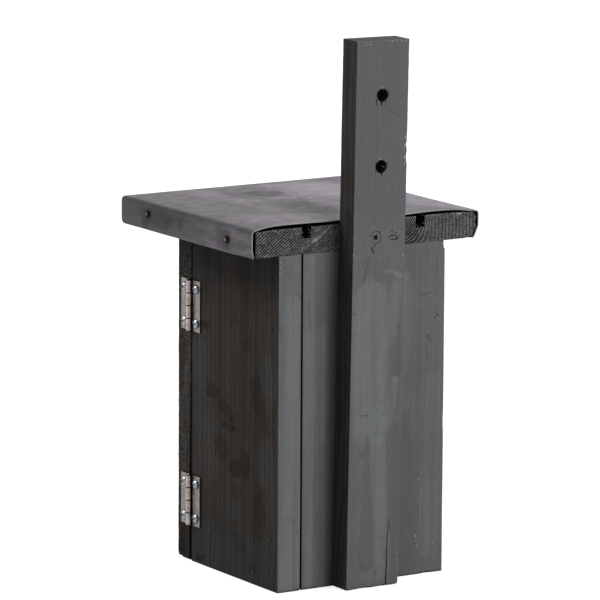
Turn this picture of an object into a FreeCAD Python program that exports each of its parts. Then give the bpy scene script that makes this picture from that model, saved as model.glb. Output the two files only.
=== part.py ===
"""Bird nest box: four equal boards set in a pinwheel, a floor, a sheet-covered roof, a hanging batten
and a door on two butt hinges with a turn button.

Millimetres. The origin is the middle of the floor board's underside: +X towards the hinges, -Y out of
the door, +Y towards the batten, +Z up.
"""

import FreeCAD
import Part
import Sketcher
import math
import os

DRIVING_SIZES = {
    # Boards
    "board_thickness": 20.0,
    "board_width": 128.0,
    "wall_height": 260.0,
    "corner_gap": 1.5,
    "door_gap": 1.0,
    "door_bottom_gap": 0.5,
    "door_top_gap": 2.0,
    "entrance_diameter": 32.0,
    "entrance_height": 185.0,
    "floor_side_gap": 0.25,
    "drain_diameter": 6.0,
    "drain_inset": 18.0,
    # Roof board and its sheet
    "roof_thickness": 20.0,
    "roof_board_width": 200.0,
    "roof_board_length": 195.5,
    "roof_shift": 3.25,
    "groove_width": 8.0,
    "groove_depth": 8.0,
    "groove_from_hinge_edge": 42.5,
    "groove_spacing": 102.0,
    "roof_bevel_height": 9.0,
    "roof_bevel_width": 4.0,
    "sheet_thickness": 0.8,
    "sheet_side_gap": 1.2,
    "sheet_top_gap": 0.4,
    "sheet_bend_radius": 3.0,
    "sheet_crown_front": 0.3,
    "sheet_crown_back": 2.2,
    # Hanging batten
    "batten_width": 47.0,
    "batten_thickness": 20.0,
    "batten_height": 422.0,
    "batten_lean": 6.4,
    "batten_foot_shift": 2.1,
    "batten_screw_height": 271.4,
    "batten_screw_shift": 1.4,
    "fixing_hole_diameter": 10.0,
    "fixing_hole_high": 379.6,
    "fixing_hole_low": 325.2,
    # Butt hinges
    "hinge_length": 40.0,
    "hinge_leaf_width": 14.0,
    "hinge_leaf_thickness": 1.0,
    "hinge_knuckle_radius": 2.3,
    "hinge_knuckle_gap": 0.3,
    "hinge_pin_radius": 1.1,
    "hinge_pin_clearance": 0.05,
    "pin_end_play": 0.2,
    "pin_head_radius": 1.6,
    "pin_head_height": 0.6,
    "hinge_screw_offset": 8.5,
    "hinge_screw_spacing": 27.0,
    "hinge_upper_height": 203.0,
    "hinge_lower_height": 49.0,
    # Pan-head screws of the hinges and the turn button
    "pan_shank_radius": 1.5,
    "pan_length": 15.0,
    "pan_head_radius": 3.4,
    "pan_head_height": 2.9,
    "pan_dome_radius": 3.9,
    "pivot_shank_radius": 2.0,
    "pivot_length": 26.0,
    # Countersunk wood screws
    "wood_screw_radius": 2.0,
    "wood_head_radius": 4.4,
    "wood_head_depth": 2.6,
    "roof_screw_length": 45.0,
    "batten_screw_length": 42.0,
    "inner_screw_length": 32.0,
    "screw_tip_length": 4.0,
    "screw_point_radius": 0.2,
    "roof_screw_reach": 35.0,
    "inner_screw_high": 205.0,
    "inner_screw_low": 55.0,
    "recess_length": 4.4,
    "recess_width": 1.0,
    "recess_depth": 1.4,
    # Brads, nails and the staple
    "brad_radius": 0.7,
    "brad_head_radius": 1.0,
    "brad_head_depth": 1.2,
    "brad_length": 38.0,
    "brad_set": 0.6,
    "brad_from_back": 8.0,
    "brad_from_side": 7.0,
    "corner_brad_top": 242.0,
    "corner_brad_upper": 202.0,
    "corner_brad_middle": 125.0,
    "corner_brad_low": 40.0,
    "floor_brad_reach": 34.0,
    "floor_brad_height": 8.0,
    "nail_radius": 0.9,
    "nail_length": 20.0,
    "nail_head_radius": 2.8,
    "nail_head_height": 1.6,
    "nail_dome_radius": 3.2,
    "nail_front": 40.8,
    "nail_front_height": 272.7,
    "nail_back": 159.0,
    "nail_back_height": 269.9,
    "staple_crown": 7.6,
    "staple_shift": 14.4,
    "staple_height": 270.1,
    "staple_wire": 1.2,
    "staple_length": 30.0,
    "staple_set": 0.5,
    # Turn button
    "button_length": 26.0,
    "button_width": 12.0,
    "button_thickness": 2.0,
    "button_clearance": 0.06,
    "button_height": 130.0,
    "washer_thickness": 1.5,
    "washer_radius": 4.5,
}

doc = FreeCAD.newDocument("nest_box")
sheet = doc.addObject("Spreadsheet::Sheet", "sizes")
for row, (alias, number) in enumerate(DRIVING_SIZES.items(), start=1):
    sheet.set(f"A{row}", alias)
    sheet.set(f"B{row}", str(number))
    sheet.setAlias(f"B{row}", alias)
doc.recompute()

# Lengths that follow from the driving sizes, as expressions
THICK = "sizes.board_thickness"
BOX_WIDTH = "(sizes.board_thickness + sizes.corner_gap + sizes.board_width)"
BOX_DEPTH = "(sizes.board_thickness + sizes.door_gap + sizes.board_width)"
HINGE_FACE = f"({BOX_WIDTH} / 2)"
LATCH_FACE = f"(-{BOX_WIDTH} / 2)"
FRONT_FACE = f"(-{BOX_DEPTH} / 2)"
BACK_FACE = f"({BOX_DEPTH} / 2)"
HINGE_INNER = f"({HINGE_FACE} - {THICK})"
LATCH_INNER = f"({LATCH_FACE} + {THICK})"
BACK_INNER = f"({BACK_FACE} - {THICK})"
LATCH_WALL_FRONT = f"({BACK_INNER} - sizes.board_width)"
HINGE_WALL_FRONT = f"({BACK_FACE} - sizes.board_width)"
PIN_X = f"({HINGE_FACE} + sizes.hinge_knuckle_radius)"
PIN_Y = f"({FRONT_FACE} + {THICK} + sizes.door_gap / 2)"
ROOF_TOP = "(sizes.wall_height + sizes.roof_thickness)"
ROOF_HINGE_EDGE = "(sizes.roof_board_width / 2 - sizes.roof_shift)"
ROOF_LATCH_EDGE = "(-sizes.roof_board_width / 2 - sizes.roof_shift)"
ROOF_FRONT = f"({BACK_FACE} - sizes.roof_board_length)"
SHEET_REACH = "(sizes.sheet_side_gap + sizes.sheet_thickness)"
BATTEN_FACE = f"({BACK_FACE} + sizes.batten_thickness)"
BUTTON_X = f"({LATCH_FACE} + {THICK} / 2)"
SIDE_WALL_LENGTHS = (THICK, "sizes.board_width", "sizes.wall_height")
BUTTON_BACK = f"({LATCH_WALL_FRONT} - sizes.washer_thickness - sizes.button_clearance)"
BUTTON_FRONT = f"({BUTTON_BACK} - sizes.button_thickness)"

# Turns that carry a fastener's own +Z, out of its head, to the face that it is driven into
FACE_TURN = {
    "+X": FreeCAD.Rotation(FreeCAD.Vector(0, 1, 0), 90),
    "-X": FreeCAD.Rotation(FreeCAD.Vector(0, 1, 0), -90),
    "+Y": FreeCAD.Rotation(FreeCAD.Vector(1, 0, 0), -90),
    "-Y": FreeCAD.Rotation(FreeCAD.Vector(1, 0, 0), 90),
    "+Z": FreeCAD.Rotation(),
}

subparts = []


def size(alias):
    """The number in the sheet's cell of that name."""
    return float(sheet.get(alias))


def bind(obj, **expressions):
    """Binds properties of obj to expressions on the sheet."""
    for prop, expression in expressions.items():
        obj.setExpression(prop, expression)
    return obj


def place(obj, x, y, z, turn=None):
    """Puts obj's own origin at three expressions, with an optional turn."""
    obj.Placement = FreeCAD.Placement(FreeCAD.Vector(), turn or FreeCAD.Rotation())
    for axis, expression in zip("xyz", (x, y, z)):
        obj.setExpression(f"Placement.Base.{axis}", str(expression))
    return obj


def named(obj, label):
    """Marks obj as the finished sub-part of that name."""
    obj.Label = label
    subparts.append(obj)
    return obj


def primitive(kind, name, **expressions):
    """A Part primitive whose sizes are expressions."""
    return bind(doc.addObject(f"Part::{kind}", name), **expressions)


def fused(name, *shapes):
    """One solid made of several that touch."""
    fuse = doc.addObject("Part::MultiFuse", name)
    fuse.Shapes = list(shapes)
    return fuse


def cut(name, base, tool):
    """base with tool taken out of it."""
    result = doc.addObject("Part::Cut", name)
    result.Base = base
    result.Tool = tool
    return result


def compound(name, members):
    """Several separate solids kept as one object."""
    group = doc.addObject("Part::Compound", name)
    group.Links = members
    return group


def copies(name, pattern, places):
    """Copies of pattern as one group; each place is (x, y, z, face it is driven into)."""
    members = []
    for number, (x, y, z, face) in enumerate(places, start=1):
        link = doc.addObject("App::Link", f"{name}_{number}")
        link.LinkedObject = pattern
        members.append(place(link, x, y, z, FACE_TURN[face]))
    return compound(name, members)


def plane_of(body, role):
    """One of the body's own origin planes."""
    return next(f for f in body.Origin.OriginFeatures if f.Role == role)


def sketch_on(body, name, role):
    """A new sketch on one of the body's origin planes."""
    sketch = body.newObject("Sketcher::SketchObject", name)
    sketch.AttachmentSupport = [(plane_of(body, role), "")]
    sketch.MapMode = "FlatFace"
    return sketch


def evaluated(sketch, expression):
    """The number that an expression on the sheet gives now."""
    return float(sketch.evalExpression(str(expression)))


def polygon(sketch, points):
    """A closed outline whose corners are pairs of expressions."""
    first = sketch.GeometryCount
    count = len(points)
    numbers = [tuple(evaluated(sketch, c) for c in point) for point in points]
    for k in range(count):
        start = FreeCAD.Vector(*numbers[k], 0)
        end = FreeCAD.Vector(*numbers[(k + 1) % count], 0)
        sketch.addGeometry(Part.LineSegment(start, end))
    for k in range(count):
        sketch.addConstraint(Sketcher.Constraint("Coincident", first + k, 2, first + (k + 1) % count, 1))
    for k, point in enumerate(points):
        for axis, expression, number in zip("XY", point, numbers[k]):
            index = sketch.addConstraint(Sketcher.Constraint(f"Distance{axis}", -1, 1, first + k, 1, number))
            sketch.setExpression(f"Constraints[{index}]", str(expression))


def rectangle(sketch, low, high):
    """A closed rectangle between two corners given as pairs of expressions."""
    polygon(sketch, [low, (high[0], low[1]), high, (low[0], high[1])])


def circle(sketch, x, y, radius):
    """A circle whose centre and radius are expressions."""
    middle = FreeCAD.Vector(evaluated(sketch, x), evaluated(sketch, y), 0)
    normal = FreeCAD.Vector(0, 0, 1)
    geometry = sketch.addGeometry(Part.Circle(middle, normal, evaluated(sketch, radius)))
    for kind, expression, number in (("DistanceX", x, middle.x), ("DistanceY", y, middle.y)):
        index = sketch.addConstraint(Sketcher.Constraint(kind, -1, 1, geometry, 3, number))
        sketch.setExpression(f"Constraints[{index}]", str(expression))
    index = sketch.addConstraint(Sketcher.Constraint("Radius", geometry, evaluated(sketch, radius)))
    sketch.setExpression(f"Constraints[{index}]", str(radius))


def pad(body, name, sketch, length, reverse=False):
    """Material added on one side of a sketch."""
    feature = body.newObject("PartDesign::Pad", name)
    feature.Profile = sketch
    feature.Reversed = reverse
    bind(feature, Length=length)
    doc.recompute()
    return feature


def pocket(body, name, sketch, reverse=False):
    """Everything behind a sketch cut away; it has to remove something."""
    before = body.Shape.Volume
    feature = body.newObject("PartDesign::Pocket", name)
    feature.Profile = sketch
    feature.Type = "ThroughAll"
    feature.Midplane = False
    feature.Reversed = reverse
    doc.recompute()
    if body.Shape.Volume > before - 1e-6:
        raise RuntimeError(f"{name} cuts nothing")
    return feature


# Fastener patterns: the head's seat is at the pattern's origin and the shank runs along -Z


def shank(name, radius, length):
    """A straight shank below the origin with a tapered tip."""
    straight = f"({length} - sizes.screw_tip_length)"
    body = primitive("Cylinder", f"{name}_shank", Radius=radius, Height=straight)
    place(body, "0", "0", f"-{straight}")
    tip = primitive("Cone", f"{name}_tip", Radius1="sizes.screw_point_radius", Radius2=radius)
    bind(tip, Height="sizes.screw_tip_length")
    place(tip, "0", "0", f"-{length}")
    return [body, tip]


def dome(name, radius, height, dome_radius):
    """A low domed head standing on the origin."""
    barrel = primitive("Cylinder", f"{name}_barrel", Radius=radius, Height=height)
    ball = primitive("Sphere", f"{name}_ball", Radius=dome_radius)
    place(ball, "0", "0", f"{height} - {dome_radius}")
    head = doc.addObject("Part::Common", f"{name}_head")
    head.Base = barrel
    head.Tool = ball
    return head


def cross_recess(name, top):
    """The cross-shaped recess below a head's top."""
    arms = []
    for arm, turned in (("long", False), ("wide", True)):
        length, width = "sizes.recess_length", "sizes.recess_width"
        if turned:
            length, width = width, length
        bar = primitive("Box", f"{name}_{arm}", Length=length, Width=width, Height="sizes.recess_depth * 2")
        arms.append(place(bar, f"-{length} / 2", f"-{width} / 2", f"{top} - sizes.recess_depth"))
    return fused(f"{name}_cross", *arms)


def pan_screw(name, radius, length):
    """A domed cross-head screw that seats on a face."""
    head = dome(name, "sizes.pan_head_radius", "sizes.pan_head_height", "sizes.pan_dome_radius")
    whole = fused(f"{name}_whole", *shank(name, radius, length), head)
    return cut(name, whole, cross_recess(name, "sizes.pan_head_height"))


def countersunk_form(name, length):
    """The outside of a countersunk screw whose head top is at the origin."""
    head = primitive(
        "Cone",
        f"{name}_head",
        Radius1="sizes.wood_screw_radius",
        Radius2="sizes.wood_head_radius",
        Height="sizes.wood_head_depth",
    )
    place(head, "0", "0", "-sizes.wood_head_depth")
    return fused(f"{name}_form", *shank(name, "sizes.wood_screw_radius", length), head)


def countersunk_screw(name, length):
    """A cross-head countersunk screw, and the form that its hole has."""
    form = countersunk_form(name, length)
    return cut(name, form, cross_recess(name, "0")), form


def brad(name):
    """A headed brad set below the face; its hole is the same form with a plug up to the face."""
    pin = primitive("Cylinder", f"{name}_pin", Radius="sizes.brad_radius", Height="sizes.brad_length")
    place(pin, "0", "0", "-sizes.brad_length - sizes.brad_set")
    head = primitive("Cylinder", f"{name}_head", Radius="sizes.brad_head_radius")
    bind(head, Height="sizes.brad_head_depth")
    place(head, "0", "0", "-sizes.brad_head_depth - sizes.brad_set")
    mouth = primitive(
        "Cylinder",
        f"{name}_mouth",
        Radius="sizes.brad_head_radius",
        Height="sizes.brad_head_depth + sizes.brad_set",
    )
    place(mouth, "0", "0", "-sizes.brad_head_depth - sizes.brad_set")
    return fused(name, pin, head), fused(f"{name}_form", pin, mouth)


# Where each fastener goes: x, y, z and the face that it is driven into

HINGE_HEIGHTS = {"upper": "sizes.hinge_upper_height", "lower": "sizes.hinge_lower_height"}
LEAF_FACE = f"({HINGE_FACE} + sizes.hinge_leaf_thickness)"
BRAD_FROM_BACK = f"({BACK_FACE} - sizes.brad_from_back)"
BRAD_FROM_SIDE = f"({LATCH_FACE} + sizes.brad_from_side)"
CORNER_BRAD_HEIGHTS = [f"sizes.corner_brad_{level}" for level in ("top", "upper", "middle", "low")]
INNER_SCREW_HEIGHTS = ("sizes.inner_screw_high", "sizes.inner_screw_low")
STAPLE_LEFT = "(-sizes.staple_shift - sizes.staple_crown / 2)"
STAPLE_LOW = "(sizes.staple_height - sizes.staple_wire / 2)"
KNUCKLE_COUNT = 4


def hinge_screw_places(side):
    """The four screw places on one side of the pin; side is 1 on the wall and -1 on the door."""
    places = []
    for height in HINGE_HEIGHTS.values():
        for end in (1, -1):
            y = f"{PIN_Y} + {side} * sizes.hinge_screw_offset"
            z = f"{height} + {end} * sizes.hinge_screw_spacing / 2"
            places.append((LEAF_FACE, y, z, "+X"))
    return places


def corner_brad_places():
    """Through the hinge-side wall into the back panel, and through the back panel into the other wall."""
    sideways = [(HINGE_FACE, BRAD_FROM_BACK, z, "+X") for z in CORNER_BRAD_HEIGHTS]
    forwards = [(BRAD_FROM_SIDE, BACK_FACE, z, "+Y") for z in CORNER_BRAD_HEIGHTS]
    return sideways, forwards


def floor_brad_places():
    """Two through each of the three fixed walls into the floor's edges."""
    places = {"hinge": [], "latch": [], "back": []}
    for end in (1, -1):
        reach = f"{end} * sizes.floor_brad_reach"
        places["hinge"].append((HINGE_FACE, reach, "sizes.floor_brad_height", "+X"))
        places["latch"].append((LATCH_FACE, reach, "sizes.floor_brad_height", "-X"))
        places["back"].append((reach, BACK_FACE, "sizes.floor_brad_height", "+Y"))
    return places


def roof_screw_places(x):
    """Two screws down through the roof board into one side wall's top edge."""
    return [(x, f"{end} * sizes.roof_screw_reach", ROOF_TOP, "+Z") for end in (1, -1)]


def nail_places():
    """Two nails through each folded side of the roof sheet."""
    places = []
    for x, face in (
        (f"{ROOF_HINGE_EDGE} + {SHEET_REACH}", "+X"),
        (f"{ROOF_LATCH_EDGE} - {SHEET_REACH}", "-X"),
    ):
        for nail in ("sizes.nail_front", "sizes.nail_back"):
            places.append((x, f"{ROOF_FRONT} + {nail}", f"{nail}_height", face))
    return places


HINGE_WALL_MIDDLE = f"({HINGE_FACE} - {THICK} / 2)"
LATCH_WALL_MIDDLE = f"({LATCH_FACE} + {THICK} / 2)"
hinge_screw = pan_screw("hinge_screw", "sizes.pan_shank_radius", "sizes.pan_length")
pivot_screw = pan_screw("pivot_screw", "sizes.pivot_shank_radius", "sizes.pivot_length")
roof_screw, roof_screw_form = countersunk_screw("roof_screw", "sizes.roof_screw_length")
batten_screw, batten_screw_form = countersunk_screw("batten_screw", "sizes.batten_screw_length")
inner_screw, inner_screw_form = countersunk_screw("inner_screw", "sizes.inner_screw_length")
corner_brad, corner_brad_form = brad("corner_brad")

# Fasteners

hinge_wall_screws = named(
    copies("hinge_wall_screw_group", hinge_screw, hinge_screw_places(1)), "hinge_wall_screws"
)
hinge_door_screws = named(
    copies("hinge_door_screw_group", hinge_screw, hinge_screw_places(-1)), "hinge_door_screws"
)

sideways_brads, forwards_brads = corner_brad_places()
named(copies("corner_brad_group", corner_brad, sideways_brads + forwards_brads), "corner_brads")
floor_brads = floor_brad_places()
all_floor_brads = floor_brads["hinge"] + floor_brads["latch"] + floor_brads["back"]
named(copies("floor_brad_group", corner_brad, all_floor_brads), "floor_brads")

hinge_roof_screws = roof_screw_places(HINGE_WALL_MIDDLE)
latch_roof_screws = roof_screw_places(LATCH_WALL_MIDDLE)
named(copies("roof_screw_group", roof_screw, hinge_roof_screws + latch_roof_screws), "roof_screws")

inner_screw_places = [("0", BACK_INNER, z, "-Y") for z in INNER_SCREW_HEIGHTS]
named(copies("inner_screw_group", inner_screw, inner_screw_places), "batten_back_screws")
batten_screw_place = [("sizes.batten_screw_shift", BATTEN_FACE, "sizes.batten_screw_height", "+Y")]
named(copies("batten_screw_group", batten_screw, batten_screw_place), "batten_roof_screw")


def make_nail():
    """A dome-headed nail seated on the roof sheet's folded side."""
    head = dome("nail", "sizes.nail_head_radius", "sizes.nail_head_height", "sizes.nail_dome_radius")
    return fused("nail", *shank("nail", "sizes.nail_radius", "sizes.nail_length"), head)


named(copies("nail_group", make_nail(), nail_places()), "roof_sheet_nails")


def make_staple(name, crown_top):
    """A staple with its crown across X and two legs into the wood; crown_top is its outer face."""
    wire = "sizes.staple_wire"
    crown = primitive("Box", f"{name}_crown", Length="sizes.staple_crown", Width=wire, Height=wire)
    place(crown, STAPLE_LEFT, f"{crown_top} - {wire}", STAPLE_LOW)
    legs = []
    for number, x in enumerate((STAPLE_LEFT, f"{STAPLE_LEFT} + sizes.staple_crown - {wire}"), start=1):
        leg = primitive("Box", f"{name}_leg_{number}", Length=wire, Width="sizes.staple_length", Height=wire)
        legs.append(place(leg, x, f"{crown_top} - sizes.staple_length", STAPLE_LOW))
    return fused(name, crown, *legs)


staple = named(make_staple("staple", f"{BATTEN_FACE} - sizes.staple_set"), "batten_staple")


def make_staple_mouth():
    """The slot that the sunk crown leaves in the batten's face."""
    mouth = primitive(
        "Box",
        "staple_mouth",
        Length="sizes.staple_crown",
        Width="sizes.staple_set * 2",
        Height="sizes.staple_wire",
    )
    return place(mouth, STAPLE_LEFT, f"{BATTEN_FACE} - sizes.staple_set", STAPLE_LOW)


# Boards: each is drilled by the outer forms of the fasteners that go into it


def board(name, low, lengths):
    """A plain board from its lowest corner and its three lengths, all expressions."""
    blank = primitive("Box", f"{name}_blank", Length=lengths[0], Width=lengths[1], Height=lengths[2])
    return place(blank, *low)


def drilled(label, blank, *holes):
    """The board with its fastener holes taken out, as a finished sub-part."""
    return named(cut(f"{label}_drilled", blank, compound(f"{label}_holes", list(holes))), label)


def make_hinge_side_wall():
    """The wall that carries the hinges; its rear edge shows at the back."""
    blank = board("hinge_side_wall", (HINGE_INNER, HINGE_WALL_FRONT, "0"), SIDE_WALL_LENGTHS)
    drilled(
        "hinge_side_wall",
        blank,
        hinge_wall_screws,
        copies("hinge_wall_brad_holes", corner_brad_form, sideways_brads + floor_brads["hinge"]),
        copies("hinge_wall_roof_holes", roof_screw_form, hinge_roof_screws),
    )


def make_latch_side_wall():
    """The wall that carries the turn button; its front edge shows beside the door."""
    blank = board("latch_side_wall", (LATCH_FACE, LATCH_WALL_FRONT, "0"), SIDE_WALL_LENGTHS)
    pilot = primitive("Cylinder", "pivot_pilot", Radius="sizes.pivot_shank_radius")
    bind(pilot, Height="sizes.pivot_length")
    place(pilot, BUTTON_X, f"{BUTTON_FRONT} + sizes.pivot_length", "sizes.button_height", FACE_TURN["-Y"])
    drilled(
        "latch_side_wall",
        blank,
        pilot,
        copies("latch_wall_brad_holes", corner_brad_form, forwards_brads + floor_brads["latch"]),
        copies("latch_wall_roof_holes", roof_screw_form, latch_roof_screws),
    )


def make_back_panel():
    """The back, between the hinge-side wall and the latch side's outer face."""
    lengths = ("sizes.board_width", THICK, "sizes.wall_height")
    blank = board("back_panel", (LATCH_FACE, BACK_INNER, "0"), lengths)
    drilled(
        "back_panel",
        blank,
        copies("back_brad_holes", corner_brad_form, sideways_brads + forwards_brads + floor_brads["back"]),
        copies("back_inner_screw_holes", inner_screw_form, inner_screw_places),
    )


def make_floor_board():
    """The floor, flush with the walls' bottom edges, with a drain hole near each corner."""
    gap = "sizes.floor_side_gap"
    length_x = f"{BOX_WIDTH} - 2 * {THICK} - 2 * {gap}"
    length_y = f"sizes.board_width - {THICK} - {gap}"
    low = (f"{LATCH_INNER} + {gap}", HINGE_WALL_FRONT, "0")
    blank = board("floor_board", low, (length_x, length_y, THICK))
    drains = []
    for number, (side, end) in enumerate(((1, 1), (1, -1), (-1, 1), (-1, -1)), start=1):
        drain = primitive("Cylinder", f"drain_{number}", Radius="sizes.drain_diameter / 2")
        bind(drain, Height=f"{THICK} * 2")
        x = f"{side} * ({HINGE_INNER} - sizes.drain_inset)"
        y = f"{end} * ({BACK_INNER} - sizes.drain_inset)"
        drains.append(place(drain, x, y, f"-{THICK} / 2"))
    drilled("floor_board", blank, *drains, copies("floor_brad_holes", corner_brad_form, all_floor_brads))


def make_front_door():
    """The door: a board with the round entrance hole."""
    body = doc.addObject("PartDesign::Body", "door_body")
    height = "(sizes.wall_height - sizes.door_bottom_gap - sizes.door_top_gap)"
    outline = sketch_on(body, "door_outline", "XZ_Plane")
    rectangle(outline, ("0", "0"), ("sizes.board_width", height))
    pad(body, "door_board", outline, THICK)
    entrance = sketch_on(body, "entrance", "XZ_Plane")
    x = f"sizes.board_width - {HINGE_FACE}"
    circle(entrance, x, "sizes.entrance_height - sizes.door_bottom_gap", "sizes.entrance_diameter / 2")
    pocket(body, "entrance_hole", entrance, reverse=True)
    place(body, f"{HINGE_FACE} - sizes.board_width", f"{FRONT_FACE} + {THICK}", "sizes.door_bottom_gap")
    drilled("front_door", body, hinge_door_screws)


def make_roof_board():
    """The roof: one board with two relief grooves along its top and a bevelled latch-side edge."""
    body = doc.addObject("PartDesign::Body", "roof_body")
    wide, high = "sizes.roof_board_width", "sizes.roof_thickness"
    outline = [("sizes.roof_bevel_width", "0"), (wide, "0"), (wide, high)]
    groove_floor = f"{high} - sizes.groove_depth"
    for number in (0, 1):
        edge = f"{wide} - sizes.groove_from_hinge_edge - {number} * sizes.groove_spacing"
        far = f"{edge} - sizes.groove_width"
        outline += [(edge, high), (edge, groove_floor), (far, groove_floor), (far, high)]
    outline += [("0", high), ("0", "sizes.roof_bevel_height")]
    profile = sketch_on(body, "roof_profile", "XZ_Plane")
    polygon(profile, outline)
    pad(body, "roof_length", profile, "sizes.roof_board_length")
    place(body, ROOF_LATCH_EDGE, BACK_FACE, "sizes.wall_height")
    drilled(
        "roof_board",
        body,
        staple,
        copies("roof_screw_holes", roof_screw_form, hinge_roof_screws + latch_roof_screws),
        copies("roof_batten_screw_hole", batten_screw_form, batten_screw_place),
        doc.getObject("nail_group"),
    )


def sheet_edge(y, crown):
    """The roof sheet's closed section at one y: two folded sides and a top that rises by crown."""
    thick = size("sheet_thickness")
    radius = size("sheet_bend_radius")
    reach = size("sheet_side_gap") + thick
    high = size("wall_height") + size("roof_thickness") + size("sheet_top_gap") + thick
    low = size("wall_height")
    half = size("roof_board_width") / 2 + reach
    middle = -size("roof_shift")
    bevel = size("roof_bevel_height")
    tuck = size("roof_bevel_width")

    def point(x, z):
        return FreeCAD.Vector(middle + x, y, z)

    def side(x, bend, top):
        """One skin's corner points, from the hinge side's bottom to the latch side's bottom."""
        corner = bend * (1 - math.sqrt(0.5))
        return {
            "foot": point(x, low),
            "rise": point(x, top - bend),
            "bend": point(x - corner, top - corner),
            "flat": point(x - bend, top),
            "crown": point(0, top + crown),
            "far_flat": point(bend - x, top),
            "far_bend": point(corner - x, top - corner),
            "far_rise": point(-x, top - bend),
            "far_knee": point(-x, low + bevel),
            "far_foot": point(tuck - x, low),
        }

    outer = side(half, radius, high)
    inner = side(half - thick, radius - thick, high - thick)

    def skin(s):
        return [
            Part.LineSegment(s["foot"], s["rise"]).toShape(),
            Part.Arc(s["rise"], s["bend"], s["flat"]).toShape(),
            Part.Arc(s["flat"], s["crown"], s["far_flat"]).toShape(),
            Part.Arc(s["far_flat"], s["far_bend"], s["far_rise"]).toShape(),
            Part.LineSegment(s["far_rise"], s["far_knee"]).toShape(),
            Part.LineSegment(s["far_knee"], s["far_foot"]).toShape(),
        ]

    ends = [
        Part.LineSegment(outer["far_foot"], inner["far_foot"]).toShape(),
        Part.LineSegment(inner["foot"], outer["foot"]).toShape(),
    ]
    return Part.Wire(Part.__sortEdges__(skin(outer) + skin(inner) + ends))


def make_roof_sheet():
    """The folded sheet over the roof board: nearly flat at the front, crowned at the back edge."""
    back = (size("board_thickness") + size("door_gap") + size("board_width")) / 2
    front = back - size("roof_board_length")
    sections = [sheet_edge(front, size("sheet_crown_front")), sheet_edge(back, size("sheet_crown_back"))]
    blank = doc.addObject("Part::Feature", "sheet_blank")
    blank.Shape = Part.makeLoft(sections, True, True)
    blank.Placement = FreeCAD.Placement()
    drilled("roof_sheet", blank, doc.getObject("nail_group"))


def make_mounting_batten():
    """The hanging batten: out of plumb, foot cut level with the box, two fixing holes near its top."""
    body = doc.addObject("PartDesign::Body", "batten_body")
    wide, high, lean = "sizes.batten_width", "sizes.batten_height", "sizes.batten_lean"
    square_drop = f"{wide} * {lean} / {high}"
    outline = sketch_on(body, "batten_outline", "XZ_Plane")
    polygon(
        outline,
        [
            (lean, "0"),
            (f"{lean} + {wide}", "0"),
            (wide, high),
            ("0", f"{high} - {square_drop}"),
        ],
    )
    pad(body, "batten_length", outline, "sizes.batten_thickness")
    holes = sketch_on(body, "fixing_holes", "XZ_Plane")
    for height in ("sizes.fixing_hole_high", "sizes.fixing_hole_low"):
        x = f"{lean} + {wide} / 2 - {lean} * {height} / {high}"
        circle(holes, x, height, "sizes.fixing_hole_diameter / 2")
    pocket(body, "fixing_hole_pair", holes, reverse=True)
    place(body, f"sizes.batten_foot_shift - {lean} - {wide} / 2", BATTEN_FACE, "0")
    drilled(
        "mounting_batten",
        body,
        staple,
        make_staple_mouth(),
        copies("batten_screw_hole", batten_screw_form, batten_screw_place),
        copies("batten_inner_screw_holes", inner_screw_form, inner_screw_places),
    )


# Butt hinges: a leaf's own frame has the pin along Z, +X out of the box and the plate along +Y


def make_leaf(hinge, owner, side, first_knuckle):
    """One leaf: plate, rolled barrel, gaps for the other leaf's knuckles and two screw holes."""
    name = f"hinge_{hinge}_{owner}_leaf"
    body = doc.addObject("PartDesign::Body", f"{name}_body")
    radius = "sizes.hinge_knuckle_radius"
    plate = sketch_on(body, f"{name}_plate", "XY_Plane")
    far = f"{side} * sizes.hinge_leaf_width"
    rectangle(plate, (f"-{radius}", "0"), (f"sizes.hinge_leaf_thickness - {radius}", far))
    pad(body, f"{name}_plate_pad", plate, "sizes.hinge_length")
    barrel = sketch_on(body, f"{name}_barrel", "XY_Plane")
    circle(barrel, "0", "0", radius)
    pad(body, f"{name}_barrel_pad", barrel, "sizes.hinge_length")
    bore = sketch_on(body, f"{name}_bore", "XY_Plane")
    circle(bore, "0", "0", "sizes.hinge_pin_radius + sizes.hinge_pin_clearance")
    pocket(body, f"{name}_bore_cut", bore, reverse=True)

    gaps = sketch_on(body, f"{name}_gaps", "YZ_Plane")
    clear = "sizes.hinge_knuckle_gap"
    near = f"-{side} * ({radius} + {clear})"
    past = f"{side} * ({radius} + {clear})"
    for knuckle in range(KNUCKLE_COUNT):
        if knuckle % 2 != first_knuckle:
            low = f"{knuckle} * sizes.hinge_length / {KNUCKLE_COUNT} - {clear} / 2"
            high = f"{knuckle + 1} * sizes.hinge_length / {KNUCKLE_COUNT} + {clear} / 2"
            rectangle(gaps, (near, low), (past, high))
    gap_cut = pocket(body, f"{name}_gap_cut", gaps)
    gap_cut.Midplane = True
    doc.recompute()

    holes = sketch_on(body, f"{name}_screw_holes", "YZ_Plane")
    for end in (1, -1):
        z = f"sizes.hinge_length / 2 + {end} * sizes.hinge_screw_spacing / 2"
        circle(holes, f"{side} * sizes.hinge_screw_offset", z, "sizes.pan_shank_radius")
    pocket(body, f"{name}_screw_cut", holes)
    place(body, PIN_X, PIN_Y, f"{HINGE_HEIGHTS[hinge]} - sizes.hinge_length / 2")
    named(body, name)


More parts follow.
